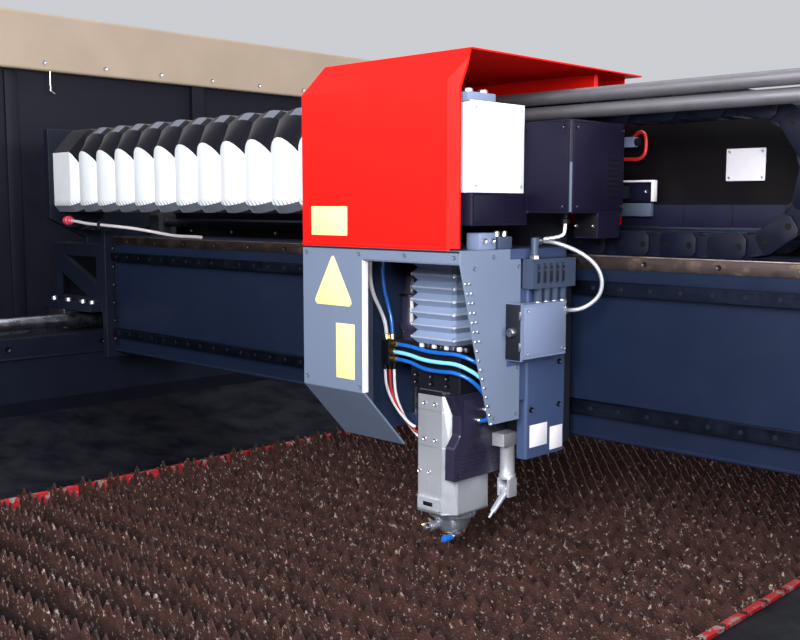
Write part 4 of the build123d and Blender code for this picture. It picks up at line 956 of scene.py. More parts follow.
TURNED_NODES: dict[str, float] = {
    "guide_rods": 1.0, "left_y_screw": 1.0, "right_y_screw": 1.0, "x_screw": 0.8, "z_screw": 0.6,
    "levelling_feet": 1.5, "collimator": 0.6, "sensor_body": 0.8, "ceramic_ring": 0.8, "nozzle_tip": 0.4,
    "spray_unit": 0.6, "spray_nozzle": 0.4, "guide_rail_buffers": 1.5,
}


@dataclass
class Dresser:
    """Gives the CAD nodes that stay their finish and their rounded edges."""

    weld: float = 0.00002
    angle: float = math.radians(35)

    def dress(self, node: str, finish: Finish) -> None:
        """Dress one node.

        Args:
            node: The node's name.
            finish: Its finish.
        """
        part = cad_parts[node]
        part.data.materials.clear()
        part.data.materials.append(material_of(finish))
        turned = node in TURNED_NODES
        edge = TURNED_NODES[node] if turned else SOFT_EDGES.get(node, 0.0)
        if edge:
            weld = part.modifiers.new("weld", "WELD")
            weld.merge_threshold = self.weld
            bevel = part.modifiers.new("soft_edges", "BEVEL")
            bevel.width = edge * MM
            bevel.segments = BEVEL_SEGMENTS
            bevel.limit_method = "ANGLE"
            bevel.angle_limit = self.angle
            bevel.harden_normals = turned
            if turned:
                part.data.shade_smooth()

    def build(self) -> None:
        """Dress every node that stays."""
        for node, finish in NODE_FINISHES.items():
            self.dress(node, finish)
        log.info("dressed %d nodes", len(NODE_FINISHES))


# Bed

@dataclass
class SlatTable:
    """Toothed slats, burnt and bent by use."""

    count: int = 39
    pitch: float = 77.0
    top: float = 870.0
    bottom: float = 770.0
    half_width: float = 795.0
    tab_end: float = 810.6
    tab_bottom: float = 792.4
    tab_top: float = 846.0
    teeth: int = 48
    tooth_depth: float = 24.0
    thickness: float = 4.4
    seed: int = 11

    def slat(self, draw: random.Random) -> bmesh.types.BMesh:
        """Shape one slat from a grid, its upper row pulled up into teeth.

        Args:
            draw: Source of the small differences.

        Returns:
            The slat with its middle at Y zero.
        """
        shape = bmesh.new()
        columns = 2 * self.teeth + 2
        bmesh.ops.create_grid(shape, x_segments=columns, y_segments=1, size=1.0)
        step = 2 * self.half_width / (2 * self.teeth)
        for corner in shape.verts:
            place = round((corner.co.x + 1.0) / 2.0 * columns)
            upper = corner.co.y > 0.0
            inside = 0 < place < columns
            x = -self.half_width + (place - 1) * step if inside else math.copysign(self.tab_end, corner.co.x)
            valley = place % 2 == 1
            if not inside:
                z = self.tab_top if upper else self.tab_bottom
            elif not upper:
                z = self.bottom
            elif valley:
                z = self.top - self.tooth_depth - draw.uniform(0.0, 4.0)
            else:
                z = self.top - abs(draw.gauss(0.0, 3.2)) - 0.5
                x += draw.uniform(-2.5, 2.5)
            corner.co = Vector((x, draw.uniform(-0.5, 0.5), min(z, self.top)))
        grown = bmesh.ops.extrude_face_region(shape, geom=shape.faces[:])["geom"]
        moved = [item for item in grown if isinstance(item, bmesh.types.BMVert)]
        bmesh.ops.translate(shape, vec=(0, self.thickness / 2, 0), verts=moved)
        rest = [corner for corner in shape.verts if corner not in set(moved)]
        bmesh.ops.translate(shape, vec=(0, -self.thickness / 2, 0), verts=rest)
        bmesh.ops.recalc_face_normals(shape, faces=shape.faces)
        return shape

    def build(self) -> None:
        """Set every slat in its slots."""
        draw = random.Random(self.seed)
        table = Piece("slat_field")
        first = -(self.count - 1) * self.pitch / 2
        for index in range(self.count):
            table.add(self.slat(draw), SLAT, [(0.0, first + index * self.pitch, 0.0)])
        table.finish("bed", "slat_steel", ["slats"], math.radians(20))


# Gantry

@dataclass
class SilverBellows:
    """Silver cloth bellows left of the carriage, in three lengths."""

    left: float = -1326.0
    collar: float = -1226.0
    start: float = -1206.0
    end: float = 68.7
    pleats: int = 13
    depth: float = 20.0
    notch: float = 34.0
    back: float = 160.0
    bottom: float = 1527.0
    shoulder: float = 1698.0
    ridge: float = 1750.0
    top: float = 1768.0
    cloth: float = 1.6

    def section(self, place: float, drawn: float) -> list[Point]:
        """Ring of the cloth.

        Args:
            place: Its X.
            drawn: How far it is drawn in, from 0 at a fold's crest to 1 in its valley.

        Returns:
            Its corners.
        """
        inset = self.depth * drawn
        low = self.bottom + inset / 2
        high = self.top - 9.0 * drawn
        outline = [(inset, low + 18), (inset + 15, low), (self.back - inset, low),
                   (self.back - inset, high - 18), (self.back - inset - 20, high), (67, high),
                   (45, self.ridge - 9.0 * drawn), (inset, self.shoulder - self.notch * drawn)]
        return [(place, y, z) for y, z in outline]

    def finish_of(self, face: bmesh.types.BMFace) -> Finish:
        """Silver in front, grey along the lower edge, a painted highlight in grey on the crest of each fold
        along the ridge, navy elsewhere.
        """
        middle = face.calc_center_median()
        if middle.y < 30.0 and 1560.0 < middle.z < 1662.0:
            return SILVER_CLOTH
        if middle.y < 30.0 and middle.z < 1560.0:
            return GREY_CLOTH_AND_HIGHLIGHT
        # Painted highlight: the upward faces round each fold's crest along the ridge are grey.
        pitch = (self.end - self.start) / self.pleats
        phase = (middle.x - self.start) / pitch % 1.0
        ridge_highlight = 42.0 < middle.y < 68.0 and face.normal.z > 0.3
        return GREY_CLOTH_AND_HIGHLIGHT if ridge_highlight and 0.3 < phase < 0.75 else NAVY_CLOTH

    def folds(self, first: int, last: int) -> list[list[Point]]:
        """Rings of the folds from one valley to another."""
        pitch = (self.end - self.start) / self.pleats
        rings = [self.section(self.start + first * pitch, 1.0)]
        for index in range(first, last):
            for share in (0.1, 0.22, 0.36, 0.5, 0.64, 0.78, 0.9, 1.0):
                drawn = 1.0 - math.sin(math.pi * share) ** 0.8
                rings.append(self.section(self.start + (index + share) * pitch, drawn))
        return rings

    def build(self) -> None:
        """Sew the three lengths between gantry and carriage."""
        collar = [self.section(self.left, 0.0), self.section(self.collar - 4, 0.0),
                  self.section(self.collar + 4, 0.2), self.section(self.start, 1.0)]
        lengths = (("bellows_collar", collar, (-1.326, -0.437)),
                   ("bellows_folds", self.folds(0, self.pleats - 1), (-1.4236, 0.1882)),
                   ("bellows_end", self.folds(self.pleats - 1, self.pleats), (-0.6573, 0.0687)))
        for name, rings, (start, end) in lengths:
            cover = Piece(name)
            cover.add(skin(rings, self.cloth), self.finish_of)
            made = cover.finish(None, "bellows_silver", ["left_bellows"], math.radians(24))
            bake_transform(made)


@dataclass
class EnergyChain:
    """Energy chain of the carriage, link by link."""

    pitch: float = 46.0
    half_height: float = 21.5
    front: float = 122.0
    back: float = 198.0
    bend_x: float = 787.0
    low_z: float = 1477.8
    lower: int = 19
    bend: int = 8
    upper: int = 11

    def joints(self) -> list[tuple[float, float, float]]:
        """X, Z and direction of each link joint."""
        radius = self.pitch / (2 * math.sin(math.pi / (2 * self.bend)))
        found = [(self.bend_x - (self.lower - index) * self.pitch, self.low_z, 0.0)
                 for index in range(self.lower)]
        for index in range(self.bend):
            angle = math.pi * index / self.bend
            found.append((self.bend_x + radius * math.sin(angle), self.low_z + radius * (1 - math.cos(angle)),
                          angle + math.pi / (2 * self.bend)))
        found += [(self.bend_x - index * self.pitch, self.low_z + 2 * radius, math.pi)
                  for index in range(self.upper)]
        return found

    def link(self, outer: bool) -> list[tuple[bmesh.types.BMesh, Finish]]:
        """Shapes of one link that starts at the origin and runs along X.

        Args:
            outer: Whether its side plates lie outside its neighbours'.

        Returns:
            The shapes with their finishes.
        """
        high = self.half_height
        over = 12.0
        outline = [(-over, -high + 9), (-over + 8, -high), (self.pitch + over - 8, -high),
                   (self.pitch + over, -high + 9), (self.pitch + over, high - 9),
                   (self.pitch + over - 8, high), (-over + 8, high), (-over, high - 9)]
        shift = 0.0 if outer else 4.2
        shapes = []
        for start in (self.front + shift, self.back - 4.0 - shift):
            shapes.append((plate(outline, Axis.Y, (start, start + 4.0), 0.8), LINK))
        for level in (-high + 2.5, high - 2.5):
            shapes.append((box((self.pitch / 2 - 8, self.pitch / 2 + 8), (self.front + 3, self.back - 3),
                               (level - 2, level + 2), 0.8), LINK))
        if outer:
            for place in (0.0, self.pitch):
                pin = rod((place, self.front + 0.6, 0), (place, self.front - 0.6, 0), 6.0, 5.0, 14)
                shapes.append((pin, COVER_BLACK))
        return shapes

    def build(self) -> None:
        """Lay the lower run, the bend and the upper run."""
        joints = self.joints()
        runs = (("chain_lower", 0, self.lower, (-0.087, 1.661)),
                ("chain_bend", self.lower, self.lower + self.bend, (-499.213, 500.787)),
                ("chain_upper", self.lower + self.bend, len(joints), (1.293, 0.281)))
        for name, first, last, (start, end) in runs:
            run = Piece(name)
            for outer in (True, False):
                places = []
                for index in range(first, last):
                    if (index % 2 == 0) is outer:
                        x, z, angle = joints[index]
                        places.append(Matrix.Translation((x, 0, z)) @ Matrix.Rotation(-angle, 4, "Y"))
                for shape, finish in self.link(outer):
                    run.add(shape, finish, places)
            made = run.finish(None, "chain_black", ["x_chain"])
            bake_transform(made)


@dataclass
class LiftBellows:
    """Grey pleated cover of the vertical slide, with light hems and rivets."""

    x: Span = (217.0, 333.0)
    y: Span = (-78.0, 20.0)
    z: Span = (1285.0, 1452.0)
    pleats: int = 7
    depth: float = 9.0
    corner: float = 7.0

    def ring(self, level: float, inset: float) -> list[Point]:
        """Ring of the cover at a height, with cut corners."""
        left, right = self.x[0] + inset, self.x[1] - inset
        near, far = self.y[0] + inset, self.y[1] - inset
        cut = self.corner
        outline = [(left + cut, near), (right - cut, near), (right, near + cut), (right, far - cut),
                   (right - cut, far), (left + cut, far), (left, far - cut), (left, near + cut)]
        return [(x, y, level) for x, y in outline]

    def hem(self, face: bmesh.types.BMFace) -> Finish:
        """Light binding along the crest of each fold, cloth between."""
        return HEM if abs(face.normal.z) < 0.25 else LIFT_CLOTH

    def build(self) -> None:
        """Fold the cover and rivet its crests."""
        half = (self.z[1] - self.z[0]) / (2 * self.pleats)
        rings = [self.ring(self.z[0], self.depth)]
        crests = [self.z[0] + (2 * index + 1) * half for index in range(self.pleats)]
        for crest in crests:
            rings.append(self.ring(crest - half * 0.55, self.depth * 0.50))
            rings.append(self.ring(crest - 1.3, 0.0))
            rings.append(self.ring(crest + 1.3, 0.0))
            rings.append(self.ring(crest + half * 0.55, self.depth * 0.50))
            rings.append(self.ring(crest + half, self.depth))
        cover = Piece("lift_bellows")
        cover.add(skin(rings, 1.0), self.hem)
        middle = self.corner / 2
        seat = self.y[0] + middle
        for x, way in ((self.x[0] + middle, -1.0), (self.x[1] - middle, 1.0)):
            rivet = rod((x - way, seat + 1.0, 0), (x + way, seat - 1.0, 0), 4.0, 3.0, 12)
            cover.add(rivet, ZINC, [(0, 0, crest) for crest in crests])
        made = cover.finish(None, "bellows_grey", ["z_bellows"], math.radians(24))
        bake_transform(made)


# Cords

@dataclass(frozen=True)
class Cord:
    """One cable or tube with its route in metres."""

    name: str
    route: tuple[Point, ...]
    radius: float
    finish: Finish
    slot: str
    node: str
    stiffness: str = "medium"
    rib: float = 0.0

    def build(self, body: str | None) -> None:
        """Args:
            body: The body it rides on, or None where it runs from the carriage to the slide.
        """
        line = smooth_line(self.route)
        drawn = spaced(line, 0.0022) + [line[-1]] if self.rib else line
        piece = Piece(self.name)
        piece.add(tube([point / MM for point in drawn], self.radius, 14, self.rib), self.finish)
        made = piece.finish(body, self.slot, [self.node], math.radians(60))
        if body is None:
            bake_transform(made)


def route(*points: Point) -> tuple[Point, ...]:
    """A route given in millimetres, in metres."""
    return tuple((x * MM, y * MM, z * MM) for x, y, z in points)


@dataclass
class Cabling:
    """Every cable and tube of the carriage and the cutting head."""

    def supply(self) -> list[Cord]:
        """Fibre and air tubes that run up into the hood."""
        fibre = route((185, -34, 1409), (185, -34, 1480), (186, -14, 1548), (189, 30, 1605), (194, 88, 1648),
                      (200, 148, 1668), (200, 215, 1668))
        left = route((152, -74, 1285), (152, -74, 1311), (137, -76, 1341), (116, -78, 1374), (105, -76, 1412),
                     (107, -72, 1452), (122, -67, 1494), (150, -62, 1534), (186, -50, 1576), (217, -22, 1617),
                     (231, 28, 1650), (234, 88, 1666), (234, 150, 1671), (234, 215, 1671))
        right = route((161, -67, 1285), (161, -67, 1317), (149, -66, 1349), (134, -64, 1384),
                      (127, -62, 1422), (131, -58, 1462), (147, -54, 1502), (173, -48, 1540),
                      (203, -36, 1578), (228, -8, 1614), (242, 40, 1640), (246, 96, 1653), (246, 154, 1655),
                      (246, 215, 1655))
        node = "supply_cables"
        return [Cord("fibre_cable", fibre, 8.0, FIBRE, "fibre_black", node, "stiff"),
                Cord("supply_tube_left", left, 4.0, WIRE_WHITE, "tube_blue", node),
                Cord("supply_tube_right", right, 4.0, TUBE_BLUE, "tube_blue", node)]

    def head(self) -> list[Cord]:
        """Air tubes across the head mount and signal cables behind the window."""
        node = "head_cables"
        tubes = (
            route((166, -66, 1276), (204, -66, 1276), (248, -68, 1270), (292, -67, 1269), (331, -66, 1271),
                  (360, -55, 1262), (379, -33, 1242), (388, -6, 1216), (386, 16, 1188), (369, 24, 1168),
                  (337, 24, 1168)),
            route((166, -75, 1262), (207, -75, 1262), (252, -77, 1254), (296, -76, 1253), (333, -71, 1254),
                  (362, -55, 1240), (380, -33, 1216), (386, -12, 1190), (378, 1, 1168), (360, 4, 1159),
                  (337, 4, 1159)),
            route((166, -68, 1247), (205, -68, 1247), (248, -72, 1236), (291, -73, 1235), (332, -72, 1238),
                  (360, -56, 1224), (373, -35, 1197), (375, -23, 1171), (368, -17, 1151), (355, -16, 1141),
                  (337, -16, 1141)))
        wires = (
            route((150, -76, 1236), (150, -76, 1211), (153, -74, 1187), (160, -67, 1163), (168, -57, 1142),
                  (178, -46, 1123), (192, -40, 1111), (209, -40, 1111)),
            route((157, -70, 1236), (157, -70, 1208), (159, -68, 1181), (165, -61, 1156), (172, -50, 1133),
                  (181, -38, 1112), (193, -31, 1098), (209, -31, 1098)),
            route((163, -64, 1236), (163, -64, 1204), (164, -61, 1174), (169, -53, 1146), (175, -42, 1121),
                  (183, -29, 1099), (194, -22, 1085), (209, -22, 1085)))
        # The middle air tube takes the lighter copy: a painted highlight across the band of blue tubes.
        found = [Cord(f"air_tube_{index}", line, 4.0, finish, "tube_blue", node)
                 for index, (line, finish) in enumerate(zip(tubes, (TUBE_BLUE, TUBE_HIGHLIGHT, TUBE_BLUE)))]
        sheaths = (WIRE_WHITE, WIRE_RED, WIRE_WHITE)
        return found + [Cord(f"signal_cable_{index}", line, 3.0, finish, "tube_blue", node, "limp")
                        for index, (line, finish) in enumerate(zip(wires, sheaths))]

    def build(self) -> None:
        """Draw every cord."""
        loop = route((484, -20, 1483), (484, 4, 1483), (501, 28, 1475), (526, 48, 1461), (543, 68, 1440),
                     (549, 80, 1413), (543, 82, 1386), (526, 75, 1367), (503, 62, 1355), (469, 62, 1355))
        armoured = Cord("armoured_loop", loop, 4.0, ARMOUR, "cable_armour", "loop_cable", rib=0.7)
        armoured.build("carriage")
        for cord in self.supply():
            cord.build(None)
        for cord in self.head():
            cord.build("head_slide")


@dataclass
class BeamTrim:
    """Machined strip, bolt caps, end flanges, rear cover, left hose and end brackets of the beam."""

    half: float = 1225.0
    front: float = 128.0
    levels: Span = (1170.0, 1395.0)
    cap_pitch: float = 60.0
    bolt_pitch: float = 145.0
    joint_pitch: float = 102.0
    cover: float = 340.0
    cover_pitch: float = 205.0

    def rails(self) -> None:
        """Dark caps over the rails' bolts."""
        caps = Piece("beam_rail_caps")
        places = []
        place = -self.half + 55.0
        while place < self.half - 40.0:
            places += [(place, self.front - 22.0, level) for level in self.levels]
            place += self.cap_pitch
        caps.add(rod((0, 0, 0), (0, -0.5, 0), 4.4, 4.0, 12), NAVY, places)
        caps.finish("gantry", "rail_steel")

    def strip(self) -> None:
        """Machined strip along the beam's top edge, its bolts and the welded edge below."""
        trim = Piece("beam_strip")
        front, end = self.front, self.half - 3
        trim.add(box((-end, end), (front - 1.4, front), (1429, 1452), 0.6), STRIP)
        trim.add(box((-end, end), (front - 1.6, front + 2), (1452, 1455), 0.8), STRIP_EDGE)
        trim.screws(FRONT, 4.5, 2.4, SCREW, [(-self.half + 90.0 + index * self.bolt_pitch, front - 1.4, 1441)
                                             for index in range(17)])
        bead = self.half - 4
        trim.add(rod((-bead, front + 1, 1113), (bead, front + 1, 1113), 4.5, sides=10), BEAM_NAVY)
        for side in (-1, 1):
            x = (side * (self.half - 22), side * (self.half - 2))
            trim.add(box(x, (front - 3, front), (1130, 1425), 1.2), NAVY)
            trim.screws(FRONT, 6, 4, SCREW, [(side * (self.half - 12), front - 3, level)
                                             for level in range(1150, 1421, 54)])
        trim.finish("gantry", "beam_navy")

    def rear(self) -> None:
        """Duct lid with its joints, blank plate and screws on the rear cover."""
        rear = Piece("rear_cover_trim")
        rear.add(box((-self.half + 8, self.half - 8), (320.6, 322.0), (1502, 1548), 0.8), DUCT)
        starts = [-self.half + 60 + index * self.joint_pitch for index in range(24)]
        rear.boxes(COVER_BLACK, 0.3, *[((x, x + 1.2), (320.2, 321.0), (1503, 1547)) for x in starts])
        rear.add(box((646, 724), (337.6, 340.0), (1592, 1652), 1.0), PLATE_PALE)
        rear.screws(FRONT, 2.4, 1.4, ZINC, [(x, 337.6, z) for x in (652, 718) for z in (1598, 1646)])
        rear.screws(FRONT, 4, 2.4, ZINC, [(-self.half + 100 + index * self.cover_pitch, self.cover, z)
                                          for index in range(12) for z in (1722, 1470)])
        rear.finish("gantry", "cover_black")

    def left_hose(self) -> None:
        """Pale hose along the foot of the bellows with its pink fitting and clips."""
        fitting = Piece("left_hose_fitting")
        fitting.turned(PINK, Axis.X, 24, [(0, -16), (9, -16), (11, -13), (11, -2), (14, 0), (14, 9), (11, 12),
                                          (11, 20), (7, 24), (0, 24)], (-1287, 20, 1501))
        fitting.boxes(BRACKET, 1.5, ((-1302, -1272), (16, 60), (1482, 1490)),
                      ((-1302, -1272), (56, 126), (1474, 1484)))
        fitting.hose(PALE_HOSE, 4.5, 12, (-1265, 20, 1501), (-1235, 20, 1499), (-1180, 24, 1493),
                     (-1110, 30, 1490), (-1050, 38, 1487), (-1005, 66, 1482), (-975, 112, 1472),
                     (-930, 142, 1462), (-870, 148, 1460), (-796, 148, 1460))
        for x in (-1190, -1120):
            fitting.add(box((x - 6, x + 6), (22, 44), (1480, 1500), 2.0), SADDLE)
            fitting.add(box((x - 4, x + 4), (40, 128), (1474, 1480), 1.0), BRACKET)
        fitting.finish("gantry", "rail_steel")

    def brackets(self) -> None:
        """Bolts and weld beads of both end brackets."""
        trim = Piece("bracket_trim")
        for side in (-1, 1):
            trim.screws(UP, 11, 9, ZINC, [(side * x, y, 1252) for x in (1275, 1330, 1420, 1510)
                                          for y in (82, 498)])
            for y in (106, 448):
                trim.add(rod((side * 1252, y, 1254), (side * 1540, y, 1254), 4, sides=8), BRACKET)
            trim.screws(Vector((side, 0, 0)), 9, 6, ZINC, [(side * 1249, 118, z) for z in (1200, 1300, 1400)])
        trim.screws(LEFT, 7, 5, ZINC, [(-1350, 170, z) for z in (1520, 1600, 1680)])
        trim.finish("gantry", "bracket_navy")

    def build(self) -> None:
        """Fit everything to the beam."""
        self.rails()
        self.strip()
        self.rear()
        self.left_hose()
        self.brackets()


# Carriage

@dataclass
class HoodTrim:
    """Blank plates, seams, screws and small fittings of the red hood and its grey shell."""

    left: float = 69.0
    fold: float = 438.0
    right: float = 469.0
    front: float = -215.0
    stud_pitch: float = 17.0
    double_studs: float = 1310.0

    def plates(self) -> None:
        """Blank plates where the real machine has its signs."""
        signs = Piece("blank_plates")
        y = (self.front - 1.2, self.front)
        signs.boxes(PLATE_BLANK, 0.9, ((96, 195), y, (1490, 1543)), ((163, 213), y, (1227, 1329)))
        corners = [(105, 1366), (110, 1361), (200, 1361), (205, 1366), (205, 1371), (159, 1450), (155, 1453),
                   (151, 1450), (105, 1371)]
        signs.add(plate(corners, Axis.Y, y, 0.6), PLATE_BLANK)
        signs.finish("carriage", "hood_red")

    def rim(self) -> None:
        """Folded lower edge of the hood and the screws on its left."""
        rim = Piece("hood_rim")
        rim.add(box((self.left, self.fold), (self.front - 1.4, self.front), (1470, 1477), 0.7), RED)
        rim.add(box((self.left - 1.2, self.left), (self.front, 55), (1470, 1477), 0.6), RED)
        rim.screws(LEFT, 4, 2.4, RED, [(self.left, -170, z) for z in (1500, 1560, 1620, 1680)])
        rim.finish("carriage", "hood_red")

    def shell(self) -> None:
        """Joint, edge strip, screws and studs of the grey shell, and the fittings on its top."""
        shell = Piece("shell_trim")
        joint, lip = (self.front - 0.8, self.front + 0.4), (self.front - 0.6, self.front + 12)
        shell.add(box((self.left + 1, self.right - 2), joint, (1466.4, 1469.4)), SADDLE)
        shell.add(box((233.4, 236.6), lip, (1206, 1447), 0.6), PLATE_PALE)
        shell.add(box((236, 466), lip, (1446.4, 1450), 0.6), SHELL_DARK)
        in_front = ((80, 1458), (225, 1458), (340, 1459), (456, 1459), (80, 1222), (226, 1216))
        on_right = ((-180, 1440), (-130, 1458), (-62, 1440), (-62, 1360), (-62, 1262), (-66, 1180),
                    (-126, 1180))
        on_left = ((-190, 1440), (-60, 1440), (40, 1440), (-190, 1230), (-60, 1110), (40, 1110))
        for way, places in ((FRONT, [(x, self.front, z) for x, z in in_front]),
                            (RIGHT, [(self.right, y, z) for y, z in on_right]),
                            (LEFT, [(self.left, y, z) for y, z in on_left])):
            shell.screws(way, 3.6, 2.2, SHELL_DARK, places)
        edge = [Vector((self.right, y, z)) for y, z in ((-215, 1448), (-179, 1312), (-136, 1168))]
        for place in spaced(edge, self.stud_pitch)[2:]:
            for inside in (5.0, 15.0) if place.z > self.double_studs else (5.0,):
                seat = place + Vector((0, inside, 0))
                shell.add(rod(seat, seat + Vector((1.6, 0, 0)), 2.8, 2.0, 12), ZINC)
        shell.add(box((436, 466), (-163, -120), (1470, 1499), 2.0), BOX_GREY)
        shell.add(box((440, 466), (-112, -76), (1470, 1492), 2.0), MANIFOLD)
        shell.screws(RIGHT, 5, 3, ZINC, [(466, y, 1485) for y in (-152, -131)])
        shell.turned(ZINC, Axis.Z, 16, [(0, 0), (6, 0), (6, 9), (4.4, 11), (0, 11)],
                     *[(453, y, 1491) for y in (-104, -84)])
        shell.finish("carriage", "shell_grey")

    def rear_fittings(self) -> None:
        """Air fitting, red hose and light bracket beside the hood's rear edge."""
        trim = Piece("hood_rear_fittings")
        trim.add(box((426, 466), (302, 317), (1661, 1681), 1.5), BOX_GREY)
        trim.add(rod((466, 309, 1671), (474, 309, 1671), 8, 7, 18, 0.8), SADDLE)
        trim.hose(WIRE_RED, 3.6, 12, (424, 306, 1638), (450, 304, 1638), (478, 302, 1636), (492, 302, 1646),
                  (493, 303, 1668), (488, 305, 1688), (472, 308, 1691), (462, 309, 1681))
        trim.add(box((418, 512), (300, 317), (1592, 1596), 1.0), PLATE_PALE)
        trim.add(box((418, 510), (314, 317), (1554, 1593), 0.8), DUCT)
        trim.add(box((508, 512), (300, 317), (1554, 1594), 1.0), PLATE_PALE)
        trim.add(box((418, 505), (306, 317), (1525, 1551), 1.0), SHELL_DARK)
        trim.screws(FRONT, 3.4, 2.2, ZINC, [(x, 314, 1574) for x in (440, 490)])
        trim.finish("carriage", "hood_red")

    def build(self) -> None:
        """Fit everything to the hood and the shell."""
        self.plates()
        self.rim()
        self.shell()
        self.rear_fittings()


@dataclass
class SideBoxes:
    """Lids, screws, glands and fittings of the boxes on the carriage's right side."""

    side: float = 469.0
    drive_front: float = -47.4
    drive_right: float = 567.4
    panel_right: float = 469.2
    junction_right: float = 501.4

    def control(self) -> None:
        """Lids and vents of the drive box, a painted highlight strip on its front right corner, its gland and
        the lead to the valves.
        """
        trim = Piece("control_box_trim")
        front, right = self.drive_front, self.drive_right
        trim.boxes(BLACK, 1.0, ((460.5, 560), (front, -46), (1537, 1683)),
                   ((566, right), (-41, 111), (1537, 1683)))
        # Painted highlight: a thin light strip down the box's front right corner edge.
        trim.add(box((562.4, 566.4), (-46.4, -42.4), (1534, 1618), 1.2), SHELL_DARK)
        trim.add(box((461, 561), (-41, 111), (1688, 1689.4), 1.0), BLACK)
        trim.screws(FRONT, 3.2, 2.0, SCREW, [(x, front, z) for x in (467, 553) for z in (1544, 1676)])
        trim.screws(RIGHT, 3.2, 2.0, SCREW, [(right, y, z) for y in (-34, 104) for z in (1544, 1676)])
        trim.boxes(COVER_BLACK, 0.5, *[((566.8, 568.0), (60, 96), (z, z + 3.4))
                                       for z in range(1560, 1625, 9)])
        trim.turned(COVER_BLACK, Axis.Z, 20, [(0, 0), (9, 0), (9, 8), (7, 10), (7, 16), (4.6, 18), (0, 18)],
                    (522, 0, 1514))
        trim.hose(ARMOUR, 3.2, 10, (522, 0, 1516), (522, 0, 1503), (522, -4, 1494), (510, -12, 1489),
                  (492, -20, 1487))
        trim.add(box((517.6, 565.4), (32.8, 34), (1492, 1528), 0.6), COVER_BLACK)
        trim.screws(FRONT, 2.8, 1.8, ZINC, [(x, 32.8, 1510) for x in (524, 559)])
        trim.finish("carriage", "box_black")

    def panel(self) -> None:
        """Joint line and screws of the white side panel, and the bracket on its top, whose pale grey is
        partly a painted highlight.
        """
        trim = Piece("side_panel_trim")
        trim.add(box((468, self.panel_right), (-184, -52), (1571, 1711), 1.0), WHITE)
        trim.screws(RIGHT, 2.6, 1.6, ZINC, [(self.panel_right, y, z) for y in (-178, -58)
                                            for z in (1577, 1705)])
        trim.add(box((474.0, 475.0), (-188, -50), (1516, 1561), 0.8), BLACK)
        # Bracket on the panel's top; its pale grey also stands in for a gleam there, a painted highlight.
        trim.add(box((432, 466), (-194, -124), (1714, 1730), 2.0), BOX_GREY)
        trim.turned(ZINC, Axis.Z, 20, [(0, 0), (9, 0), (9, 5), (7, 7), (0, 7)],
                    *[(450, y, 1730) for y in (-178, -140)])
        trim.finish("carriage", "panel_white")

    def junction(self) -> None:
        """Lid, flange, hinges, latch and gland of the junction box."""
        trim = Piece("junction_box_trim")
        right = self.junction_right
        trim.add(box((500, right), (-84, 36), (1285, 1370), 1.0), BOX_GREY)
        trim.screws(RIGHT, 2.8, 1.8, ZINC, [(right, y, z) for y in (-77, 29) for z in (1291, 1364)])
        trim.turned(ZINC, Axis.Y, 20, [(0, 0), (7, 0), (8.4, 3), (8.4, 9), (6.4, 11), (0, 11)],
                    (484.5, -105, 1327.5))
        trim.add(box((469.5, 501.5), (-96.2, -95), (1279, 1376), 0.8), SADDLE)
        trim.boxes(ZINC, 0.8, *[((499, 503), (-97.4, -94.6), (z, z + 14)) for z in (1296, 1350)])
        trim.turned(ZINC, Axis.X, 20, [(0, 0), (9, 0), (9, 7), (7.4, 9), (7.4, 15), (4.4, 17), (0, 17)],
                    (self.side, 62, 1355))
        trim.add(box((self.side, 471), (-92, 40), (1266, 1280), 0.6), HOUSING)
        trim.finish("carriage", "box_grey")

    def valves(self) -> None:
        """Collets, coils and elbow of the valve block, and the housing's blank plates and screws."""
        trim = Piece("valve_block_trim")
        for index in range(4):
            y = -20 + index * 24
            trim.turned(ZINC, Axis.Z, 18, [(5, 0), (9, 0), (9, 5), (8, 7), (5, 7)], (480, y, 1369.5))
            trim.turned(TUBE_BLUE, Axis.Z, 16, [(0, 0), (6, 0), (6, 3.4), (0, 3.4)], (480, y, 1367))
        for index in range(5):
            y = -38 + index * 18
            trim.add(box((486, 493.6), (y + 0.8, y + 7.2), (1412, 1440), 0.7), SADDLE)
            trim.add(rod((493.4, y + 4, 1432), (494.8, y + 4, 1432), 2.0, 1.6, 10), MANIFOLD)
        trim.turned(ZINC, Axis.Z, 6, [(0, 0), (8.6, 0), (8.6, 6), (7, 8), (0, 8)], (484, -36, 1452))
        trim.turned(ZINC, Axis.Y, 18, [(4, 0), (7.4, 0), (7.4, 9), (6, 11), (4, 11)], (484, -30, 1483))
        proud = (self.side, 470.4)
        trim.boxes(PLATE_PALE, 0.6, (proud, (-24, 27), (1110, 1151)), (proud, (36, 74), (1097, 1140)))
        trim.screws(RIGHT, 5, 3.5, SCREW, [(self.side, y, z) for y, z in (
            (-22, 1440), (60, 1440), (60, 1180), (-22, 1180), (60, 1260))])
        trim.finish("carriage", "valve_grey")

    def build(self) -> None:
        """Fit every box."""
        self.control()
        self.panel()
        self.junction()
        self.valves()


# Vertical slide

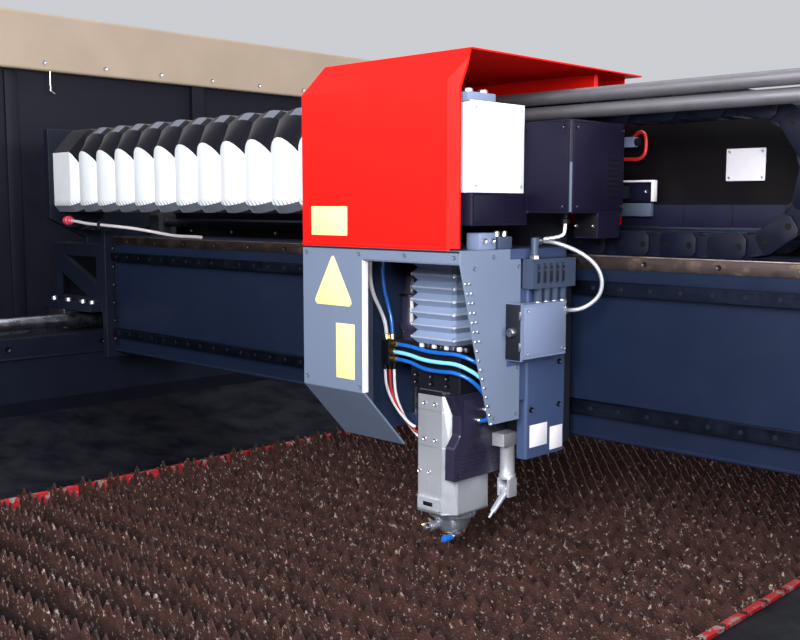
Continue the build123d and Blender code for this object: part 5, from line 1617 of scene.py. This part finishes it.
@dataclass
class HeadTrim:
    """Seams, screws, plugs and fittings of the cutting head."""

    x: float = 262.0
    half_width: float = 53.0
    half_depth: float = 66.0
    chamfer: float = 22.0
    left: float = 209.0
    right: float = 337.0
    knurls: int = 24

    def collar(self, level: float, height: float, proud: float) -> bmesh.types.BMesh:
        """Eight-sided band round the head.

        Args:
            level: Its lower edge.
            height: Its height.
            proud: How far it stands out.

        Returns:
            The shape.
        """
        a, b, c = self.half_width + proud, self.half_depth + proud, self.chamfer
        outline = [(-a + c, -b), (a - c, -b), (a, -b + c), (a, b - c), (a - c, b), (-a + c, b), (-a, b - c),
                   (-a, -b + c)]
        return plate([(self.x + x, y) for x, y in outline], Axis.Z, (level, level + height), 0.5)

    def body(self) -> None:
        """Joints of the head's modules, window frame and screws."""
        trim = Piece("head_trim")
        for level in (1086.0, 1156.0):
            trim.add(self.collar(level, 1.2, 0.2), SENSOR)
        trim.add(self.collar(1187.0, 8.0, 1.4), MOUNT)
        trim.add(self.collar(955.4, 4.0, 0.8), SENSOR)
        trim.screws(FRONT, 3.6, 2.4, ZINC, [(x, -self.half_depth, z) for x, z in (
            (234, 1035), (260, 1036), (248, 1100), (276, 1100), (248, 1170), (276, 1170))])
        trim.add(box((250, 274), (-72.8, -71.0), (971, 979), 1.5), SCREW)
        cover = self.left - 0.8
        trim.add(box((cover, self.left), (-40, 40), (1100, 1176), 1.0), ALUMINIUM)
        trim.screws(LEFT, 3.4, 2.4, SCREW, [(cover, y, z) for y in (-32, 32) for z in (1108, 1168)])
        for y, z in ((-40, 1111), (-31, 1098), (-22, 1085)):
            trim.add(rod((self.left, y, z), (self.left - 8, y, z), 4.6, 4.0, 14, 0.6), BRASS)
        trim.finish("head_slide", "head_silver")

    def drive(self) -> None:
        """Ribs, cap and tube fittings of the focus drive."""
        trim = Piece("drive_trim")
        right = self.right
        trim.boxes(GLOSS, 0.6, *[((right, right + 1.6), (-60, 50), (z, z + 3)) for z in range(1050, 1081, 7)])
        trim.add(box((right, right + 1.2), (-52, 60), (1110, 1184), 1.0), GLOSS)
        trim.turned(ZINC, Axis.X, 18, [(4.2, 0), (7, 0), (7, 8), (5.6, 10), (4.2, 10)],
                    *[(right, y, z) for y, z in ((24, 1168), (4, 1159), (-16, 1141))])
        trim.screws(RIGHT, 3.4, 2.4, SCREW, [(right, y, 1042) for y in (-70, 60)])
        trim.finish("head_slide", "drive_black")

    def mount(self) -> None:
        """Manifold fittings, screws, light connectors and fibre ring of the head mount."""
        trim = Piece("mount_trim")
        trim.turned(BRASS, Axis.X, 18, [(4.2, 0), (6.6, 0), (6.6, 9), (5.4, 11), (4.2, 11)],
                    (166, -66, 1276), (166, -75, 1262), (166, -68, 1247))
        trim.turned(BRASS, Axis.Z, 18, [(4.2, 0), (6.4, 0), (6.4, 9), (5.4, 11), (4.2, 11)],
                    (152, -74, 1285), (161, -67, 1285))
        trim.turned(COVER_BLACK, Axis.Z, 16, [(3.2, 0), (5, 0), (5, 8), (4, 10), (3.2, 10)],
                    (150, -76, 1226), (157, -70, 1226), (163, -64, 1226))
        trim.screws(FRONT, 5.0, 4.0, SCREW, [(x, -60, z) for x in (222, 262, 302) for z in (1208, 1222)])
        for index, x in enumerate(range(232, 345, 16)):
            trim.add(box((x, x + 9), (-65, -58), (1276, 1284), 1.2), ZINC if index % 2 else PLATE_PALE)
        trim.turned(SCREW, Axis.Z, 28, [(23, 0), (27, 0), (27, 3), (25, 5), (23, 5)], (185, -34, 1370))
        trim.turned(RUBBER, Axis.Z, 24, [(8, 0), (12.4, 0), (11, 22), (9.4, 26), (8, 26)], (185, -34, 1405))
        trim.finish("head_slide", "mount_black")

    def tip(self) -> None:
        """Knurled nut, plugs and screws round the sensor and the nozzle."""
        trim = Piece("tip_trim")
        trim.turned(SENSOR, Axis.Z, 40, [(46.1, 0), (47.2, 1), (47.2, 9), (46.1, 10)], (self.x, 0, 943))
        for index in range(self.knurls):
            turn = Matrix.Rotation(math.tau * index / self.knurls, 4, "Z")
            trim.add(box((46.6, 48.0), (-1.6, 1.6), (944, 952), 0.4), SENSOR,
                     [Matrix.Translation((self.x, 0, 0)) @ turn])
        trim.turned(BRASS, Axis.Z, 32, [(14, 0), (24.4, 0), (25.4, 2), (25.4, 7), (24.0, 9), (14, 9)],
                    (self.x, 0, 902))
        for start, end, radius, end_radius, sides, finish in (
                ((294, -38, 909), (294, -62, 909), 7.0, 6.0, 18, TUBE_BLUE),
                ((294, -20, 912), (294, -40, 909), 8.5, 8.0, 18, ZINC),
                ((252, -52, 924), (252, -70, 924), 7.4, 6.4, 18, ZINC),
                ((228, -30, 920), (220, -46, 918), 6.4, 5.6, 16, BRASS)):
            trim.add(rod(start, end, radius, end_radius, sides, 0.8), finish)
        trim.finish("head_slide", "nozzle_copper")

    def build(self) -> None:
        """Fit everything to the head."""
        self.body()
        self.drive()
        self.mount()
        self.tip()


# Bed trim

@dataclass
class BedTrim:
    """Bolt caps of the long rails, drawer grips, weld beads and guard bolts."""

    rail_x: float = 1480.0
    rail_top: float = 1198.0
    frame_x: float = 1350.0
    drawer_end: float = 2096.0
    guard_x: float = -1556.0
    hanger: tuple[Point, ...] = ((-1560, 120, 1964), (-1560, 120, 1905), (-1560, 134, 1896))

    def caps(self) -> None:
        """Caps over the bolts of the long rails."""
        caps = Piece("long_rail_caps")
        places = [(side * self.rail_x, -1455.0 + index * 105.0, self.rail_top)
                  for side in (-1, 1) for index in range(34)]
        caps.add(rod((0, 0, 0), (0, 0, 0.5), 7.6, 7.0, 12), COVER_BLACK, places)
        caps.finish("bed", "rail_steel")

    def frames(self) -> None:
        """Weld beads and bolts along the inner faces of the side frames."""
        trim = Piece("side_frame_trim")
        for side in (-1, 1):
            bead = side * (self.frame_x + 1)
            trim.add(rod((bead, -2080, 1096), (bead, 2080, 1096), 5, sides=8), NAVY)
            bolts = [(side * self.frame_x, -1950.0 + index * 300.0, 1128.0) for index in range(14)]
            trim.screws(Vector((-side, 0, 0)), 8, 6, SCREW, bolts)
        trim.finish("bed", "frame_navy")

    def drawers(self) -> None:
        """Grip frames and screws of both drawers."""
        for body, end in (("front_drawer", -1), ("rear_drawer", 1)):
            grip = Piece(f"{body}_grip")
            y = end * self.drawer_end
            deep = (y - end * 9, y + end * 2.6)
            grip.boxes(ZINC, 1.6, ((-178, 178), deep, (528, 536)), ((-178, 178), deep, (584, 592)),
                       ((-178, -170), deep, (528, 592)), ((170, 178), deep, (528, 592)))
            corners = [(x, y, z) for x in (-730, 730) for z in (330, 640)]
            grip.screws(Vector((0, end, 0)), 6, 3.4, ZINC, corners)
            grip.finish(body, "drawer_grey")

    def guard(self) -> None:
        """Bolts, folded ribs and hanger of the guard wall."""
        trim = Piece("guard_trim")
        bolts = [(self.guard_x, -1990.0 + index * 209.0, 1990) for index in range(20)]
        trim.screws(RIGHT, 6, 4, ZINC, bolts)
        trim.boxes(GUARD_NAVY, 2.0, *[((-1588, -1578), (y - 20, y + 20), (1160, 1960))
                                      for y in (-1340, 0, 1340)])
        for start, end in zip(self.hanger, self.hanger[1:]):
            trim.add(rod(start, end, 2.0, sides=10), ZINC)
        trim.finish("bed", "guard_navy")

    def build(self) -> None:
        """Fit everything to the bed."""
        self.caps()
        self.frames()
        self.drawers()
        self.guard()


def main() -> None:
    """Build the scene in order."""
    logging.basicConfig(level=logging.INFO, format="%(message)s")
    for part in (Studio(), Cabling(), Dresser(), SlatTable(), BedTrim(), SilverBellows(),
                 EnergyChain(), BeamTrim(), HoodTrim(), SideBoxes(), LiftBellows(), HeadTrim()):
        part.build()


if __name__ == "__main__":
    main()
